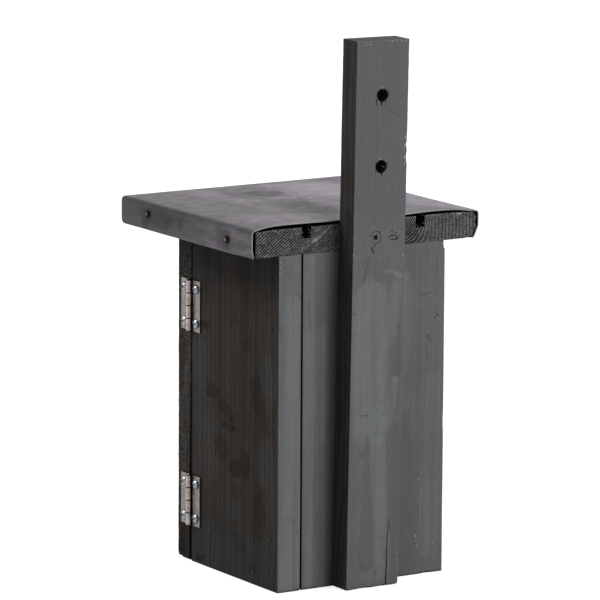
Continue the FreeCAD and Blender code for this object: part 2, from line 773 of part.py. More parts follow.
def make_pin(hinge):
    """A plain hinge pin with a low peened head at each end."""
    name = f"hinge_{hinge}_pin"
    half = "(sizes.hinge_length / 2 + sizes.pin_end_play)"
    rod = primitive("Cylinder", f"{name}_rod", Radius="sizes.hinge_pin_radius", Height=f"2 * {half}")
    place(rod, PIN_X, PIN_Y, f"{HINGE_HEIGHTS[hinge]} - {half}")
    heads = []
    for end in (1, -1):
        head = primitive(
            "Cone",
            f"{name}_head_{'top' if end > 0 else 'bottom'}",
            Radius1="sizes.pin_head_radius",
            Radius2="sizes.pin_head_radius / 2",
            Height="sizes.pin_head_height",
        )
        turn = FreeCAD.Rotation() if end > 0 else FreeCAD.Rotation(FreeCAD.Vector(1, 0, 0), 180)
        heads.append(place(head, PIN_X, PIN_Y, f"{HINGE_HEIGHTS[hinge]} + {end} * {half}", turn))
    named(fused(f"{name}_whole", rod, *heads), name)


# Turn button on the latch-side wall's front edge, hanging clear of the door


def make_turn_button():
    """A round-ended plate that turns on its screw, with the washer that lifts it off the wood."""
    thick, wide = "sizes.button_thickness", "sizes.button_width"
    straight = f"(sizes.button_length - {wide} / 2)"
    body = doc.addObject("PartDesign::Body", "turn_button_body")
    plate = sketch_on(body, "button_plate", "XZ_Plane")
    rectangle(plate, (f"-{wide} / 2", f"-{straight}"), (f"{wide} / 2", "0"))
    pad(body, "button_plate_pad", plate, thick)
    for end, z in (("pivot", "0"), ("tip", f"-{straight}")):
        round_end = sketch_on(body, f"button_{end}_round", "XZ_Plane")
        circle(round_end, "0", z, f"{wide} / 2")
        pad(body, f"button_{end}_pad", round_end, thick)
    hole = sketch_on(body, "button_hole", "XZ_Plane")
    circle(hole, "0", "0", "sizes.pivot_shank_radius + sizes.button_clearance")
    pocket(body, "button_hole_cut", hole, reverse=True)
    place(body, BUTTON_X, BUTTON_BACK, "sizes.button_height")
    named(body, "turn_button")

    ring = primitive("Cylinder", "washer_disc", Radius="sizes.washer_radius", Height="sizes.washer_thickness")
    eye = primitive("Cylinder", "washer_eye", Radius="sizes.pivot_shank_radius")
    bind(eye, Height="sizes.washer_thickness")
    for piece in (ring, eye):
        place(piece, BUTTON_X, LATCH_WALL_FRONT, "sizes.button_height", FACE_TURN["-Y"])
    named(cut("washer", ring, eye), "turn_button_washer")

    seat = f"{BUTTON_FRONT} - sizes.button_clearance"
    screw_place = [(BUTTON_X, seat, "sizes.button_height", "-Y")]
    named(copies("pivot_screw_group", pivot_screw, screw_place), "turn_button_screw")


make_hinge_side_wall()
make_latch_side_wall()
make_back_panel()
make_floor_board()
make_front_door()
make_roof_board()
make_roof_sheet()
make_mounting_batten()
for hinge_name, wall_first in (("upper", 0), ("lower", 1)):
    make_leaf(hinge_name, "wall", 1, wall_first)
    make_leaf(hinge_name, "door", -1, 1 - wall_first)
    make_pin(hinge_name)
make_turn_button()
doc.recompute()

for obj in doc.Objects:
    if {"Invalid", "Error"} & set(obj.State):
        raise RuntimeError(f"{obj.Label} failed: {obj.State}")
os.makedirs("parts", exist_ok=True)
for obj in subparts:
    shape = obj.Shape
    if shape.isNull() or not shape.isValid() or not shape.Solids:
        raise RuntimeError(f"{obj.Label} has no valid solid")
    print(f"{obj.Label}: {len(shape.Solids)} solid(s), {shape.Volume / 1000:.2f} cm3")
for obj in subparts:
    obj.Shape.exportStep(f"parts/{obj.Label}.step")
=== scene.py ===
"""Looks of the bird nest box: brushed paint on planed and sawn boards, a folded roof sheet, hinges,
a turn button and the fasteners.

Everything is in the part's own frame. Lengths here are millimetres until MM turns them into metres.
"""

import math
import random

import bmesh
import bpy
import numpy as np
from mathutils import Matrix, Vector, noise


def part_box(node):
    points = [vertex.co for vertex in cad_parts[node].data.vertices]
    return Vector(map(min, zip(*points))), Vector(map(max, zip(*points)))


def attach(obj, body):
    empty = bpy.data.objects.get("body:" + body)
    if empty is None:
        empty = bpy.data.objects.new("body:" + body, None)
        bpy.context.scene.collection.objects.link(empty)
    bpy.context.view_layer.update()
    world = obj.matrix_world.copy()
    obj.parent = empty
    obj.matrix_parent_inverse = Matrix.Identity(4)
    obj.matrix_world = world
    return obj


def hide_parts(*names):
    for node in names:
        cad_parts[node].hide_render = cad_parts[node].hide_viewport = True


MM = 0.001

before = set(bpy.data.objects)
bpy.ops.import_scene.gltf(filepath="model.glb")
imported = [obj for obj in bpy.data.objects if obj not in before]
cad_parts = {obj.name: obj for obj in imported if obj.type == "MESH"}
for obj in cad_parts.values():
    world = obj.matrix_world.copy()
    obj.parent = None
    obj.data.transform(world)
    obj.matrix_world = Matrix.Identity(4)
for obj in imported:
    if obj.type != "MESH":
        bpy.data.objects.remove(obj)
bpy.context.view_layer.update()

# Camera at the photograph's viewing angle

CAMERA_AZIMUTH = 148.15
CAMERA_ELEVATION = 10.24
CAMERA_ROLL = 0.32
CAMERA_DISTANCE = 4048.55
CAMERA_TARGET = (6.97, -4.33, 208.49)
CAMERA_REACH = 100
FOCAL_PIXELS = 5240.5
IMAGE_PIXELS = 600
SENSOR_WIDTH = 36


def make_camera():
    """A long lens behind the box, turned by a small roll."""
    azimuth, elevation, roll = (math.radians(a) for a in (CAMERA_AZIMUTH, CAMERA_ELEVATION, CAMERA_ROLL))
    flat = math.cos(elevation)
    back = Vector((math.sin(azimuth) * flat, -math.cos(azimuth) * flat, math.sin(elevation)))
    level = Vector((0, 0, 1)).cross(back).normalized()
    upright = back.cross(level)
    right = level * math.cos(roll) + upright * math.sin(roll)
    up = upright * math.cos(roll) - level * math.sin(roll)
    camera = bpy.data.objects.new("camera", bpy.data.cameras.new("camera"))
    camera.data.sensor_width = SENSOR_WIDTH
    camera.data.lens = FOCAL_PIXELS / IMAGE_PIXELS * SENSOR_WIDTH
    camera.data.clip_end = CAMERA_REACH
    turn = Matrix((right, up, back)).transposed().to_4x4()
    camera.matrix_world = Matrix.Translation((Vector(CAMERA_TARGET) + back * CAMERA_DISTANCE) * MM) @ turn
    bpy.context.scene.collection.objects.link(camera)
    bpy.context.scene.camera = camera


# Node calls shared by every finish


def rgb(red, green, blue):
    return (red, green, blue, 1.0)


class Nodes:
    """A node tree being filled: each call adds a node, and most return its output."""

    def __init__(self, tree):
        self.tree = tree
        tree.nodes.clear()

    def put(self, socket, value):
        """Links a socket to another, or sets its constant."""
        if isinstance(value, bpy.types.NodeSocket):
            self.tree.links.new(value, socket)
        elif value is not None:
            socket.default_value = value[:3] if socket.type == "VECTOR" else value

    def node(self, kind, *inputs, named=None, **settings):
        made = self.tree.nodes.new("ShaderNode" + kind)
        for key, value in settings.items():
            setattr(made, key, value)
        for socket, value in zip(made.inputs, inputs):
            self.put(socket, value)
        for name, value in (named or {}).items():
            self.put(made.inputs[name], value)
        return made

    def math(self, operation, *values):
        return self.node("Math", *values, operation=operation).outputs[0]

    def add(self, total, *others):
        for other in others:
            total = self.math("ADD", total, other)
        return total

    def sub(self, first, second):
        return self.math("SUBTRACT", first, second)

    def mul(self, first, second):
        return self.math("MULTIPLY", first, second)

    def vector(self, operation, *values):
        return self.node("VectorMath", *values, operation=operation).outputs[0]

    def length(self, vector):
        return self.node("VectorMath", vector, operation="LENGTH").outputs["Value"]

    def band(self, value, low, high, at_low=0.0, at_high=1.0, kind="SMOOTHSTEP"):
        """value carried from low..high to at_low..at_high and held beyond them."""
        names = ("Value", "From Min", "From Max", "To Min", "To Max")
        named = dict(zip(names, (value, low, high, at_low, at_high)))
        return self.node("MapRange", named=named, interpolation_type=kind).outputs[0]

    def mix(self, factor, first, second):
        made = self.node("Mix", data_type="RGBA")
        for place, part in ((0, factor), (6, first), (7, second)):
            self.put(made.inputs[place], part)
        return made.outputs[2]

    def times(self, colour, value):
        return self.node("VectorMath", colour, named={"Scale": value}, operation="SCALE").outputs[0]

    def level(self, *parts):
        """1 plus each (value, amount) pair's amount times how far the value is from a half."""
        total = 1.0
        for value, amount in parts:
            total = self.add(self.math("MULTIPLY_ADD", value, amount, -amount / 2), total)
        return total


FAR = 1e4

# Small marks as half height, half width at the foot and at the top, rim (all in radii) and amount
PIT = (0.4, 0.6, 0.8, 0.5, 0.85)
CHIP = (0.5, 0.6, 0.5, 0.4, 0.8)
DOT = (0.4, 0.7, 0.7, 0.5, 0.9)

# The painted shadow line beside the door's gap: its top, its places across at top and foot, and its colour
SEAM_TOP = 240.0
SEAM_TOP_Y, SEAM_FOOT_Y = -54.0, -56.2
SEAM_SHADOW_BLACK = rgb(0.0012, 0.0011, 0.001)


class Finish(Nodes):
    """A material being made, with places and lengths in millimetres."""

    def __init__(self, name):
        self.material = bpy.data.materials.new(name)
        self.material.use_nodes = True
        super().__init__(self.material.node_tree)
        self.bsdf = self.node("BsdfPrincipled")
        self.node("OutputMaterial", self.bsdf.outputs["BSDF"])
        metres = self.node("TexCoord").outputs["Object"]
        self.place = self.vector("MULTIPLY", metres, (1 / MM, 1 / MM, 1 / MM))
        self.x, self.y, self.z = self.node("SeparateXYZ", self.place).outputs

    def patches(self, sizes, shift, detail, warp=0.0):
        """The outputs of a noise whose patches have these three sizes."""
        place = self.vector("MULTIPLY_ADD", self.place, tuple(1 / s for s in sizes), shift)
        named = {"Vector": place, "Scale": 1.0, "Detail": detail, "Distortion": warp}
        return self.node("TexNoise", named=named).outputs

    def noise(self, sizes, detail=2.0, seed=0.0, warp=0.0):
        """Noise from 0 to 1."""
        return self.patches(sizes, (seed, seed * 1.7, seed * 2.3), detail, warp)[0]

    def drifted(self, sizes, reach, seed=0.0):
        """The place moved about by smooth noise of these patch sizes."""
        drift = self.patches(sizes, (seed, seed, seed), 3.0)["Color"]
        centred = self.vector("SUBTRACT", drift, (0.5, 0.5, 0.5))
        return self.vector("MULTIPLY_ADD", centred, reach, self.place)

    def beyond(self, start, end, half_start, half_end, across="X", place=None):
        """Distance outside a tapering stroke between two points (across, z) of an upright face."""
        middle = [(a + b) / 2 for a, b in zip(start, end)]
        run, rise = end[0] - start[0], end[1] - start[1]
        half = math.hypot(run, rise) / 2
        turn = math.atan2(run, rise)
        if across == "X":
            centre, keep, axis, turn = (middle[0], 0, middle[1]), (1, 0, 1), "Y_AXIS", -turn
        else:
            centre, keep, axis = (0, middle[0], middle[1]), (0, 1, 1), "X_AXIS"
        flat = self.vector("MULTIPLY", self.vector("SUBTRACT", place or self.place, centre), keep)
        wallward_shade = self.node("VectorRotate", named={"Vector": flat, "Angle": turn}, rotation_type=axis)
        x, y, z = self.node("SeparateXYZ", wallward_shade.outputs[0]).outputs
        held = self.node("Clamp", z, -half, half).outputs[0]
        reach = self.length(self.node("CombineXYZ", x, y, self.sub(z, held)).outputs[0])
        taper = (half_end - half_start) / (2 * half)
        return self.sub(reach, self.math("MULTIPLY_ADD", held, taper, (half_start + half_end) / 2))

    def spot(self, centre, radii, soft=0.4, place=None):
        """1 inside an ellipsoid, 0 outside, with a soft rim."""
        away = self.vector("SUBTRACT", place or self.place, centre)
        reach = self.length(self.vector("MULTIPLY", away, tuple(1 / r for r in radii)))
        return self.band(reach, 1 - soft, 1 + soft, 1.0, 0.0)

    def specks(self, colour, tint, marks, shape, across="X"):
        """Small upright ovals; marks hold (across, z, radius) and shape is PIT, CHIP or DOT."""
        tall, foot, top, rim, amount = shape
        for u, z, r in marks:
            reach = self.beyond((u, z - r * tall), (u, z + r * tall), r * foot, r * top, across)
            colour = self.mix(self.band(reach, -r * rim, r * 0.3, amount, 0.0), colour, tint)
        return colour

    def blots(self, colour, tint, marks, soft, place=None):
        """Soft patches; marks hold (y, z, radius along Y, radius up, amount)."""
        for y, z, wide, high, amount in marks:
            patch = self.mul(self.spot((0, y, z), (FAR, wide, high), soft, place), amount)
            colour = self.mix(patch, colour, tint)
        return colour

    def smears(self, colour, tint, marks, rim, across="X", place=None):
        """Rubbed strokes; marks hold (start, end, half width at start, at end, amount)."""
        for start, end, half_start, half_end, amount in marks:
            reach = self.beyond(start, end, half_start, half_end, across, place)
            colour = self.mix(self.band(reach, -rim, 0.8, amount, 0.0), colour, tint)
        return colour

    def painted_occlusion_shade(self, distance, amount):
        """Painted shade from ambient occlusion: 0 on open faces, rising to amount in recesses and beside
        other pieces.
        """
        openness = self.node("AmbientOcclusion", named={"Distance": distance * MM}, samples=6).outputs["AO"]
        return self.band(openness, 0.45, 0.95, amount, 0.0)

    def painted_seam_shadow(self, colour, gloss):
        """Painted shadow: a black line beside the gap between the door and its wall, further over towards
        the foot, with its gloss taken away.
        """
        middle = self.band(self.z, 0, SEAM_TOP, SEAM_FOOT_Y, SEAM_TOP_Y)
        line = self.band(self.math("ABSOLUTE", self.sub(self.y, middle)), 1.0, 1.8, 1.0, 0.0)
        return self.mix(line, colour, SEAM_SHADOW_BLACK), self.band(line, 0, 1, gloss, 0)

    def bump(self, height, depth, under=None):
        named = {"Distance": depth * MM, "Height": height, "Normal": under}
        return self.node("Bump", named=named).outputs[0]

    def shade(self, colour, roughness, normal, gloss=None, metallic=0.0):
        named = {"Base Color": colour, "Roughness": roughness, "Normal": normal}
        named.update({"Specular IOR Level": gloss, "Metallic": metallic})
        for name, value in named.items():
            self.put(self.bsdf.inputs[name], value)
        return self.material


# Finishes of the wood

PAINT = rgb(0.0938, 0.0945, 0.0990)
PAINT_THICK = rgb(0.135, 0.1440, 0.1475)
PAINT_THIN = rgb(0.0715, 0.0732, 0.0772)
PAINT_BROWNED = rgb(0.080, 0.076, 0.070)
BARE_CHIP = rgb(0.42, 0.36, 0.27)
# Black of chips and pits, and of painted shade
DARK_CHIP_AND_SHADE = rgb(0.010, 0.010, 0.010)
SCRATCHED = rgb(0.042, 0.040, 0.039)
FLECK = rgb(0.27, 0.30, 0.32)
STAIN_GREY = rgb(0.0400, 0.0388, 0.0378)
STAIN_BROWN = rgb(0.0285, 0.0218, 0.0172)
STAIN_BLOT = rgb(0.0138, 0.0080, 0.0046)
# Dark stain, and the colour of painted shade and painted shadow
DARK_STAIN_AND_SHADE = rgb(0.006, 0.0055, 0.005)

# Shades are a span along one axis and how bright the finish is at its two ends; UNDER_ROOF_SHADE is painted
# shadow of the roof, the foot shades only make the finish darker towards the bottom
FOOT_SHADE, UNDER_ROOF_SHADE = (20, 84, 0.68, 1.0), (208, 244, 1.0, 0.52)
EDGE_FOOT_SHADE = (8, 40, 0.5, 1.0)
TORN_REACH, TORN_FROM, TORN_TO = 9.0, -4.6, -3.2


def brushed_paint(name, strokes=(), chips=(), pits=(), scratches=(), flecks=(), streaks=1.0, seed=0.0):
    """Grey paint brushed upright, with tongues of a second coat and small damage.

    strokes hold (colour, start, end, half width at start, at end, amount, edge softness, rim);
    chips, pits and flecks hold (x, z, radius); scratches hold (start, end, half width). streaks scales
    the upright lines of the brush.
    """
    f = Finish(name)
    hairs = f.noise((1.5, 1.5, 80), 3, seed)
    lines = f.noise((3.6, 3.6, 170), 2, seed + 2)
    bands = f.noise((11, 11, 200), 2, seed + 3)
    cloud = f.noise((40, 40, 55), 2, seed + 5)
    grit = f.noise((1.2, 1.2, 1.2), 2, seed + 7)
    warped = f.drifted((11, 11, 30), (4, 0, 8), seed)
    patchy = f.band(lines, 0.3, 0.6, 0.65, 1.0)
    colour = f.mix(f.band(cloud, 0.38, 0.62, 0.0, 0.45), PAINT, PAINT_THIN)
    height = hairs
    for coat, start, end, half_start, half_end, amount, soft, rim in strokes:
        outside = f.beyond(start, end, half_start, half_end, place=warped)
        fill = f.mul(f.band(outside, -soft, soft * 0.5, amount, 0.0), patchy)
        colour = f.mix(fill, colour, coat)
        if rim:
            strength = f.band(f.z, end[1] - half_end, start[1], 0.0, rim)
            for offset, tint in ((-0.5, PAINT_THICK), (0.8, PAINT_THIN)):
                near = f.math("ABSOLUTE", f.sub(outside, offset))
                colour = f.mix(f.band(near, 0.1, 0.8, strength, 0.0), colour, tint)
            height = f.add(height, f.mul(fill, 1.5))
    for start, end, half in scratches:
        line = f.band(f.beyond(start, end, half, half), -half * 0.6, half * 0.6, 0.8, 0.0)
        colour = f.mix(line, colour, SCRATCHED)
    colour = f.specks(colour, DARK_CHIP_AND_SHADE, pits, PIT)
    colour = f.specks(colour, BARE_CHIP, chips, CHIP)
    colour = f.specks(colour, FLECK, flecks, CHIP)
    torn = f.math("MULTIPLY_ADD", f.noise((3.0, 3.0, 2.0), 2, seed + 15), -TORN_REACH, f.z)
    colour = f.mix(f.band(torn, TORN_FROM, TORN_TO, 0.9, 0.0), colour, DARK_STAIN_AND_SHADE)
    # Painted shade in recesses and beside other pieces
    colour = f.mix(f.painted_occlusion_shade(3.0, 0.7), colour, DARK_CHIP_AND_SHADE)
    edge = f.node("Attribute", attribute_name="edge").outputs["Fac"]
    worn = f.mul(edge, f.band(f.noise((2.5, 2.5, 7), 2, seed + 11), 0.52, 0.7))
    colour = f.mix(f.mul(worn, 0.5), colour, PAINT_THICK)
    tone = f.level((hairs, 0.22 * streaks), (lines, 0.26 * streaks), (bands, 0.2), (grit, 0.55))
    speck = f.band(f.noise((1.0, 1.0, 1.5), 1, seed + 13), 0.735, 0.78)
    colour = f.mix(f.mul(speck, 0.45), f.times(colour, tone), PAINT_THICK)
    normal = f.bump(grit, 0.06, f.bump(height, 0.07))
    return f.shade(colour, f.band(bands, 0.3, 0.7, 0.5, 0.66), normal, gloss=0.25)


GRAIN_SPACING = 8.5
GRAIN_DRIFT, GRAIN_SHAKE = 34.0, 12.0


def stained_grain(name, brown, greys=(), blots=(), dots=(), smudges=(), seam_shadow=False, tone=1.0, seed=0.0):
    """Thin brown stain over planed softwood: upright growth rings, bare grey places, dark blots and holes.

    brown is how much of the stain is left in the thin and in the thick clouds. Places are counted along
    Y: greys and blots hold (y, z, radius along Y, radius up, amount), dots hold (y, z, radius) and smudges
    hold (start, end, half width at start, at end, amount). seam_shadow paints a black shadow line beside
    the door and the roof's shadow on the part under the roof, and makes the foot darker.
    """
    f = Finish(name)
    slow = f.mul(f.noise((60, 60, 300), 2, seed), GRAIN_DRIFT)
    close = f.mul(f.noise((11, 11, 420), 2, seed + 1), GRAIN_SHAKE)
    across = f.add(f.x, f.y, slow, close)
    rings = f.band(f.math("FRACT", f.math("DIVIDE", across, GRAIN_SPACING)), 0.15, 0.95)
    fine = f.noise((1.9, 1.9, 110), 3, seed + 2)
    cloud = f.noise((14, 14, 30), 4, seed + 4)
    broad = f.noise((9, 9, 190), 2, seed + 5)
    grit = f.noise((2.0, 2.0, 1.2), 3, seed + 6)
    warped = f.drifted((6, 6, 8), (13, 13, 13), seed)
    rub_and_sheen = f.drifted((4, 4, 4), (5, 5, 4), seed)
    colour = f.mix(f.band(cloud, 0.42, 0.66, *brown), STAIN_GREY, STAIN_BROWN)
    colour = f.blots(colour, STAIN_GREY, greys, 0.3, warped)
    colour = f.blots(colour, STAIN_BLOT, blots, 0.2, warped)
    colour = f.smears(colour, DARK_STAIN_AND_SHADE, smudges, 1.0, "Y", rub_and_sheen)
    shade = f.level((rings, 0.5), (broad, 0.4), (fine, 0.9), (cloud, 0.3), (grit, 1.5))
    colour = f.times(colour, f.mul(shade, tone))
    colour = f.specks(colour, DARK_CHIP_AND_SHADE, dots, DOT, "Y")
    # Painted shade in recesses and beside other pieces, such as round the hinge leaves
    colour = f.mix(f.painted_occlusion_shade(2.0, 0.9), colour, DARK_STAIN_AND_SHADE)
    gloss = 0.12
    if seam_shadow:
        # Darker towards the foot, and painted shadow of the roof on the part under it
        ends = f.mul(f.band(f.z, *FOOT_SHADE), f.band(f.z, *UNDER_ROOF_SHADE))
        colour, gloss = f.painted_seam_shadow(f.times(colour, ends), gloss)
    normal = f.bump(grit, 0.07, f.bump(f.add(fine, rings), 0.10))
    return f.shade(colour, f.band(broad, 0.3, 0.7, 0.7, 0.85), normal, gloss=gloss)


def sawn_edge(name, light, warm=0.4, pitted=0.6, seed=0.0, seam_shadow=False):
    """A rough sawn edge under thin dark paint, with pits and cross marks of the saw; seam_shadow paints the
    shadow line beside the door and makes the foot darker.
    """
    f = Finish(name)
    marks = f.noise((9, 9, 1.6), 2, seed)
    grain = f.noise((1.6, 1.6, 40), 3, seed + 2)
    lumps = f.noise((2.4, 2.4, 3.6), 3, seed + 4)
    pits = f.band(f.noise((1.8, 1.8, 1.3), 2, seed + 6), 0.74 - pitted * 0.2, 0.82 - pitted * 0.2)
    patch = f.noise((12, 12, 40), 2, seed + 8)
    colour = f.mix(f.band(patch, 0.6 - warm * 0.4, 0.8 - warm * 0.4), STAIN_GREY, STAIN_BROWN)
    colour = f.times(colour, f.mul(f.level((marks, 0.4), (grain, 0.5), (lumps, 0.8)), light))
    colour = f.mix(f.mul(pits, 0.8), colour, DARK_STAIN_AND_SHADE)
    # Painted shade in recesses and beside other pieces
    colour = f.mix(f.painted_occlusion_shade(2.0, 0.9), colour, DARK_STAIN_AND_SHADE)
    gloss = 0.08
    if seam_shadow:
        colour, gloss = f.painted_seam_shadow(f.times(colour, f.band(f.z, *EDGE_FOOT_SHADE)), gloss)
    height = f.sub(f.add(lumps, f.mul(marks, 0.5)), pits)
    return f.shade(colour, 0.88, f.bump(height, 0.35), gloss=gloss)


RING_SPACING = 3.18
RING_LEAN, LEAN_SPAN = 1.75, (-70, -25)
RING_STEEPER, STEEPER_SPAN = 0.45, (30, 96)
RING_MIDDLE = 270
WIDE_RINGS = (-66, -38)
RING_SHADE = (-66, 10, 0.74, 1.17)
SMEARS = (
    ((45, 268.4), (42, 270.2), 0.7, 1.4, 0.7),
    ((42, 270.2), (38.5, 271.8), 1.4, 0.8, 0.5),
    ((38.5, 271.8), (34.5, 275.2), 0.8, 0.7, 0.45),
    ((34.5, 275.2), (30.2, 278.8), 0.7, 0.5, 0.45),
)
SMEAR_PAINT = rgb(0.24, 0.255, 0.265)
BARE_SPOT, BARE_RADII = (-88.0, 74.5, 280.0), (1.9, 3, 0.9)
FRAYED_FROM, FRAYED_TO = 279.0, 280.2
END_LINE = rgb(0.190, 0.192, 0.191)
END_VALLEY = rgb(0.012, 0.012, 0.012)
TOP_LINE = rgb(0.12, 0.108, 0.095)
TOP_VALLEY = rgb(0.045, 0.040, 0.035)


def ringed_end(name, line=END_LINE, valley=END_VALLEY, ringed=True, seed=0.0):
    """Painted end grain: close rings that lean at the hinge side, wide upright ones at the other."""
    f = Finish(name)
    far = f.band(f.x, *WIDE_RINGS, 1.0, 0.0)
    lean = f.sub(f.band(f.x, *LEAN_SPAN, 0.0, RING_LEAN), f.band(f.x, *STEEPER_SPAN, 0.0, RING_STEEPER))
    along = f.math("MULTIPLY_ADD", f.sub(f.z, RING_MIDDLE), lean, f.x)
    bend = f.mul(f.noise((14, 14, 14), 2, seed), f.math("MULTIPLY_ADD", far, -2.6, 4.0))
    shake = f.mul(f.noise((1.6, 1.6, 2.2), 2, seed + 1), f.math("MULTIPLY_ADD", far, -0.6, 1.3))
    wave = f.math("SINE", f.mul(f.add(along, bend, shake), 2 * math.pi / RING_SPACING))
    speck = f.noise((1.0, 1.0, 1.0), 3, seed + 2)
    patch = f.noise((9, 9, 6), 2, seed + 4)
    faint = f.noise((5, 5, 4), 2, seed + 6)
    close = f.mul(f.band(wave, -0.4, 0.8), f.band(faint, 0.35, 0.6, 0.45, 1.0))
    wide = f.band(wave, -1.0, -0.1, 0.25, 0.8)
    rings = f.math("MULTIPLY_ADD", far, f.sub(wide, close), close)
    strength = f.mul(rings, f.band(speck, 0.3, 0.6, 0.3, 1.0))
    colour = f.mix(strength if ringed else f.band(speck, 0.35, 0.65), valley, line)
    colour = f.times(colour, f.level((patch, 1.0), (speck, 0.8)))
    if ringed:
        colour = f.times(colour, f.band(f.x, *RING_SHADE))
        colour = f.smears(colour, SMEAR_PAINT, SMEARS, 0.7)
        colour = f.mix(f.spot(BARE_SPOT, BARE_RADII), colour, BARE_CHIP)
        frayed = f.mul(f.band(f.z, FRAYED_FROM, FRAYED_TO), f.band(speck, 0.42, 0.58, 0.0, 0.8))
        colour = f.mix(frayed, colour, END_LINE)
    height = f.add(strength, f.mul(speck, 0.8))
    return f.shade(colour, 0.85, f.bump(height, 0.25), gloss=0.1)


PINE_PALE = rgb(0.50, 0.36, 0.22)
PINE_LINE = rgb(0.36, 0.225, 0.11)
PINE_DRIFT, PINE_RING = 30.0, 0.9
CAVITY_HALF = 53.0
CAVITY_LOW, CAVITY_HIGH = 18.0, 257.0


def bare_pine(name, rimmed=False, seed=0.0):
    """Unpainted softwood inside the box; rimmed keeps dark paint on the part outside the cavity."""
    f = Finish(name)
    bend = f.mul(f.noise((40, 40, 150), 2, seed), PINE_DRIFT)
    across = f.add(f.x, f.y, bend)
    rings = f.band(f.math("SINE", f.mul(across, PINE_RING)), 0.1, 0.95)
    fine = f.noise((0.9, 0.9, 60), 3, seed + 2)
    colour = f.mix(f.mul(rings, 0.55), PINE_PALE, PINE_LINE)
    colour = f.times(colour, f.level((fine, 0.3), (f.noise((30, 30, 60), 2, seed + 4), 0.25)))
    if rimmed:
        ragged = f.mul(f.noise((3, 3, 6), 2, seed + 6), 3.0)
        beside = f.sub(f.math("ABSOLUTE", f.x), CAVITY_HALF)
        above = f.math("MAXIMUM", f.sub(f.z, CAVITY_HIGH), f.sub(CAVITY_LOW, f.z))
        outside = f.add(f.math("MAXIMUM", beside, above), ragged)
        colour = f.mix(f.band(outside, 0.6, 1.6), colour, DARK_STAIN_AND_SHADE)
    return f.shade(colour, 0.75, f.bump(fine, 0.08), gloss=0.15)


# Finishes of the metal

SHEET_BASE = rgb(0.0980, 0.0875, 0.1005)
SHEET_PALE_SHEEN = rgb(0.266, 0.238, 0.273)
SHEET_DARK = rgb(0.016, 0.0145, 0.0170)
SHEET_SIDE = rgb(0.0890, 0.0840, 0.0912)
SHEET_EDGE = rgb(0.20, 0.195, 0.195)
# Near black inner skin: painted shade in the gap under the sheet's back edge
SHEET_UNDER_SHADE = rgb(0.010, 0.010, 0.010)
NICKEL = rgb(0.335, 0.290, 0.265)
ZINC = rgb(0.36, 0.40, 0.45)
NAIL_DARK = rgb(0.005, 0.004, 0.0035)
NAIL_BROWN = rgb(0.020, 0.011, 0.007)
NAIL_PAINTED_HIGHLIGHT = rgb(0.33, 0.27, 0.22)
RUST = rgb(0.05, 0.022, 0.010)
# Clouds of the roof sheet as colour, place, radii and amount; the pale ones are partly painted sheen
ROOF_CLOUDS = (
    (SHEET_PALE_SHEEN, (36, -30), (9, 95), 0.26), (SHEET_PALE_SHEEN, (50, 44), (32, 16), 0.42),
    (SHEET_PALE_SHEEN, (38, -100), (13, 15), 0.35), (SHEET_PALE_SHEEN, (-24, -60), (8, 60), 0.36),
    (SHEET_PALE_SHEEN, (-54, -68), (26, 46), 0.95), (SHEET_PALE_SHEEN, (-62, -74), (16, 26), 0.4),
    (SHEET_PALE_SHEEN, (-92, 16), (26, 54), 0.62), (SHEET_DARK, (14, 44), (8, 14), 0.75),
    (SHEET_DARK, (5, 16), (15, 26), 1), (SHEET_DARK, (92, -60), (13, 62), 0.14),
    (SHEET_DARK, (4, -14), (17, 18), 0.95), (SHEET_DARK, (2, -74), (18, 15), 0.95),
    (SHEET_DARK, (24, 20), (5, 5), 0.6), (SHEET_DARK, (16, 2), (4, 6), 0.6),
    (SHEET_DARK, (48, -8), (5, 4), 0.4), (SHEET_DARK, (30, -28), (6, 4), 0.4),
    (SHEET_DARK, (64, 10), (4, 3), 0.35), (SHEET_PALE_SHEEN, (24, -47), (9, 7), 0.45),
    (SHEET_PALE_SHEEN, (-4, -47), (11, 6), 0.55), (SHEET_PALE_SHEEN, (-30, -108), (14, 8), 0.45),
)
FOLD_START, FOLD_END = 92.0, 97.0


def clouded_sheet(name):
    """Dull dark roof sheet with smoky clouds and paler patches that are partly painted sheen, and painted
    shade beside its fold.
    """
    f = Finish(name)
    warped = f.drifted((13, 13, 13), (26, 26, 0), 2.0)
    smoke = f.noise((9, 9, 9), 4, 3.0, 0.3)
    clouds = f.noise((30, 24, 9), 3, 5.0, 0.4)
    fine = f.noise((2.2, 2.2, 2.2), 3, 8.0)
    grain = f.noise((0.8, 0.8, 0.8), 1, 9.0)
    colour = f.mix(f.band(clouds, 0.42, 0.66, 0.0, 0.2), SHEET_BASE, SHEET_PALE_SHEEN)
    for tint, (x, y), (wide, deep), amount in ROOF_CLOUDS:
        cloud = f.spot((x, y, 0), (wide, deep, FAR), 0.42, warped)
        colour = f.mix(f.mul(cloud, f.band(smoke, 0.3, 0.62, amount, amount * 0.8)), colour, tint)
    # Painted shade beside the fold
    fold = f.band(f.x, FOLD_START, FOLD_END, 1.0, 0.4)
    tone = f.mul(f.level((smoke, 0.4), (fine, 0.4), (grain, 0.7)), fold)
    roughness = f.band(smoke, 0.3, 0.7, 0.40, 0.54)
    normal = f.bump(grain, 0.02, f.bump(fine, 0.04))
    return f.shade(f.times(colour, tone), roughness, normal, gloss=0.18)


NAIL_PLACES = ((-80.2, 272.7), (38.0, 269.9))
PALER_SHEEN_SPAN = (-60, 66)
FOLD_SHADE, FLAP_FOOT_SHADE = (278.6, 281.4, 1.0, 0.5), (259, 270, 1.2, 1.0)
FLAP_CLOUDS = (
    (-66, 272, 26, 7, 0.55), (-30, 275, 18, 4, 0.35), (34, 270, 12, 8, 0.45), (-84, 268, 6, 8, 0.6),
    (-51, 271, 4, 4, 0.5), (-31, 271.5, 3, 4, 0.45),
)


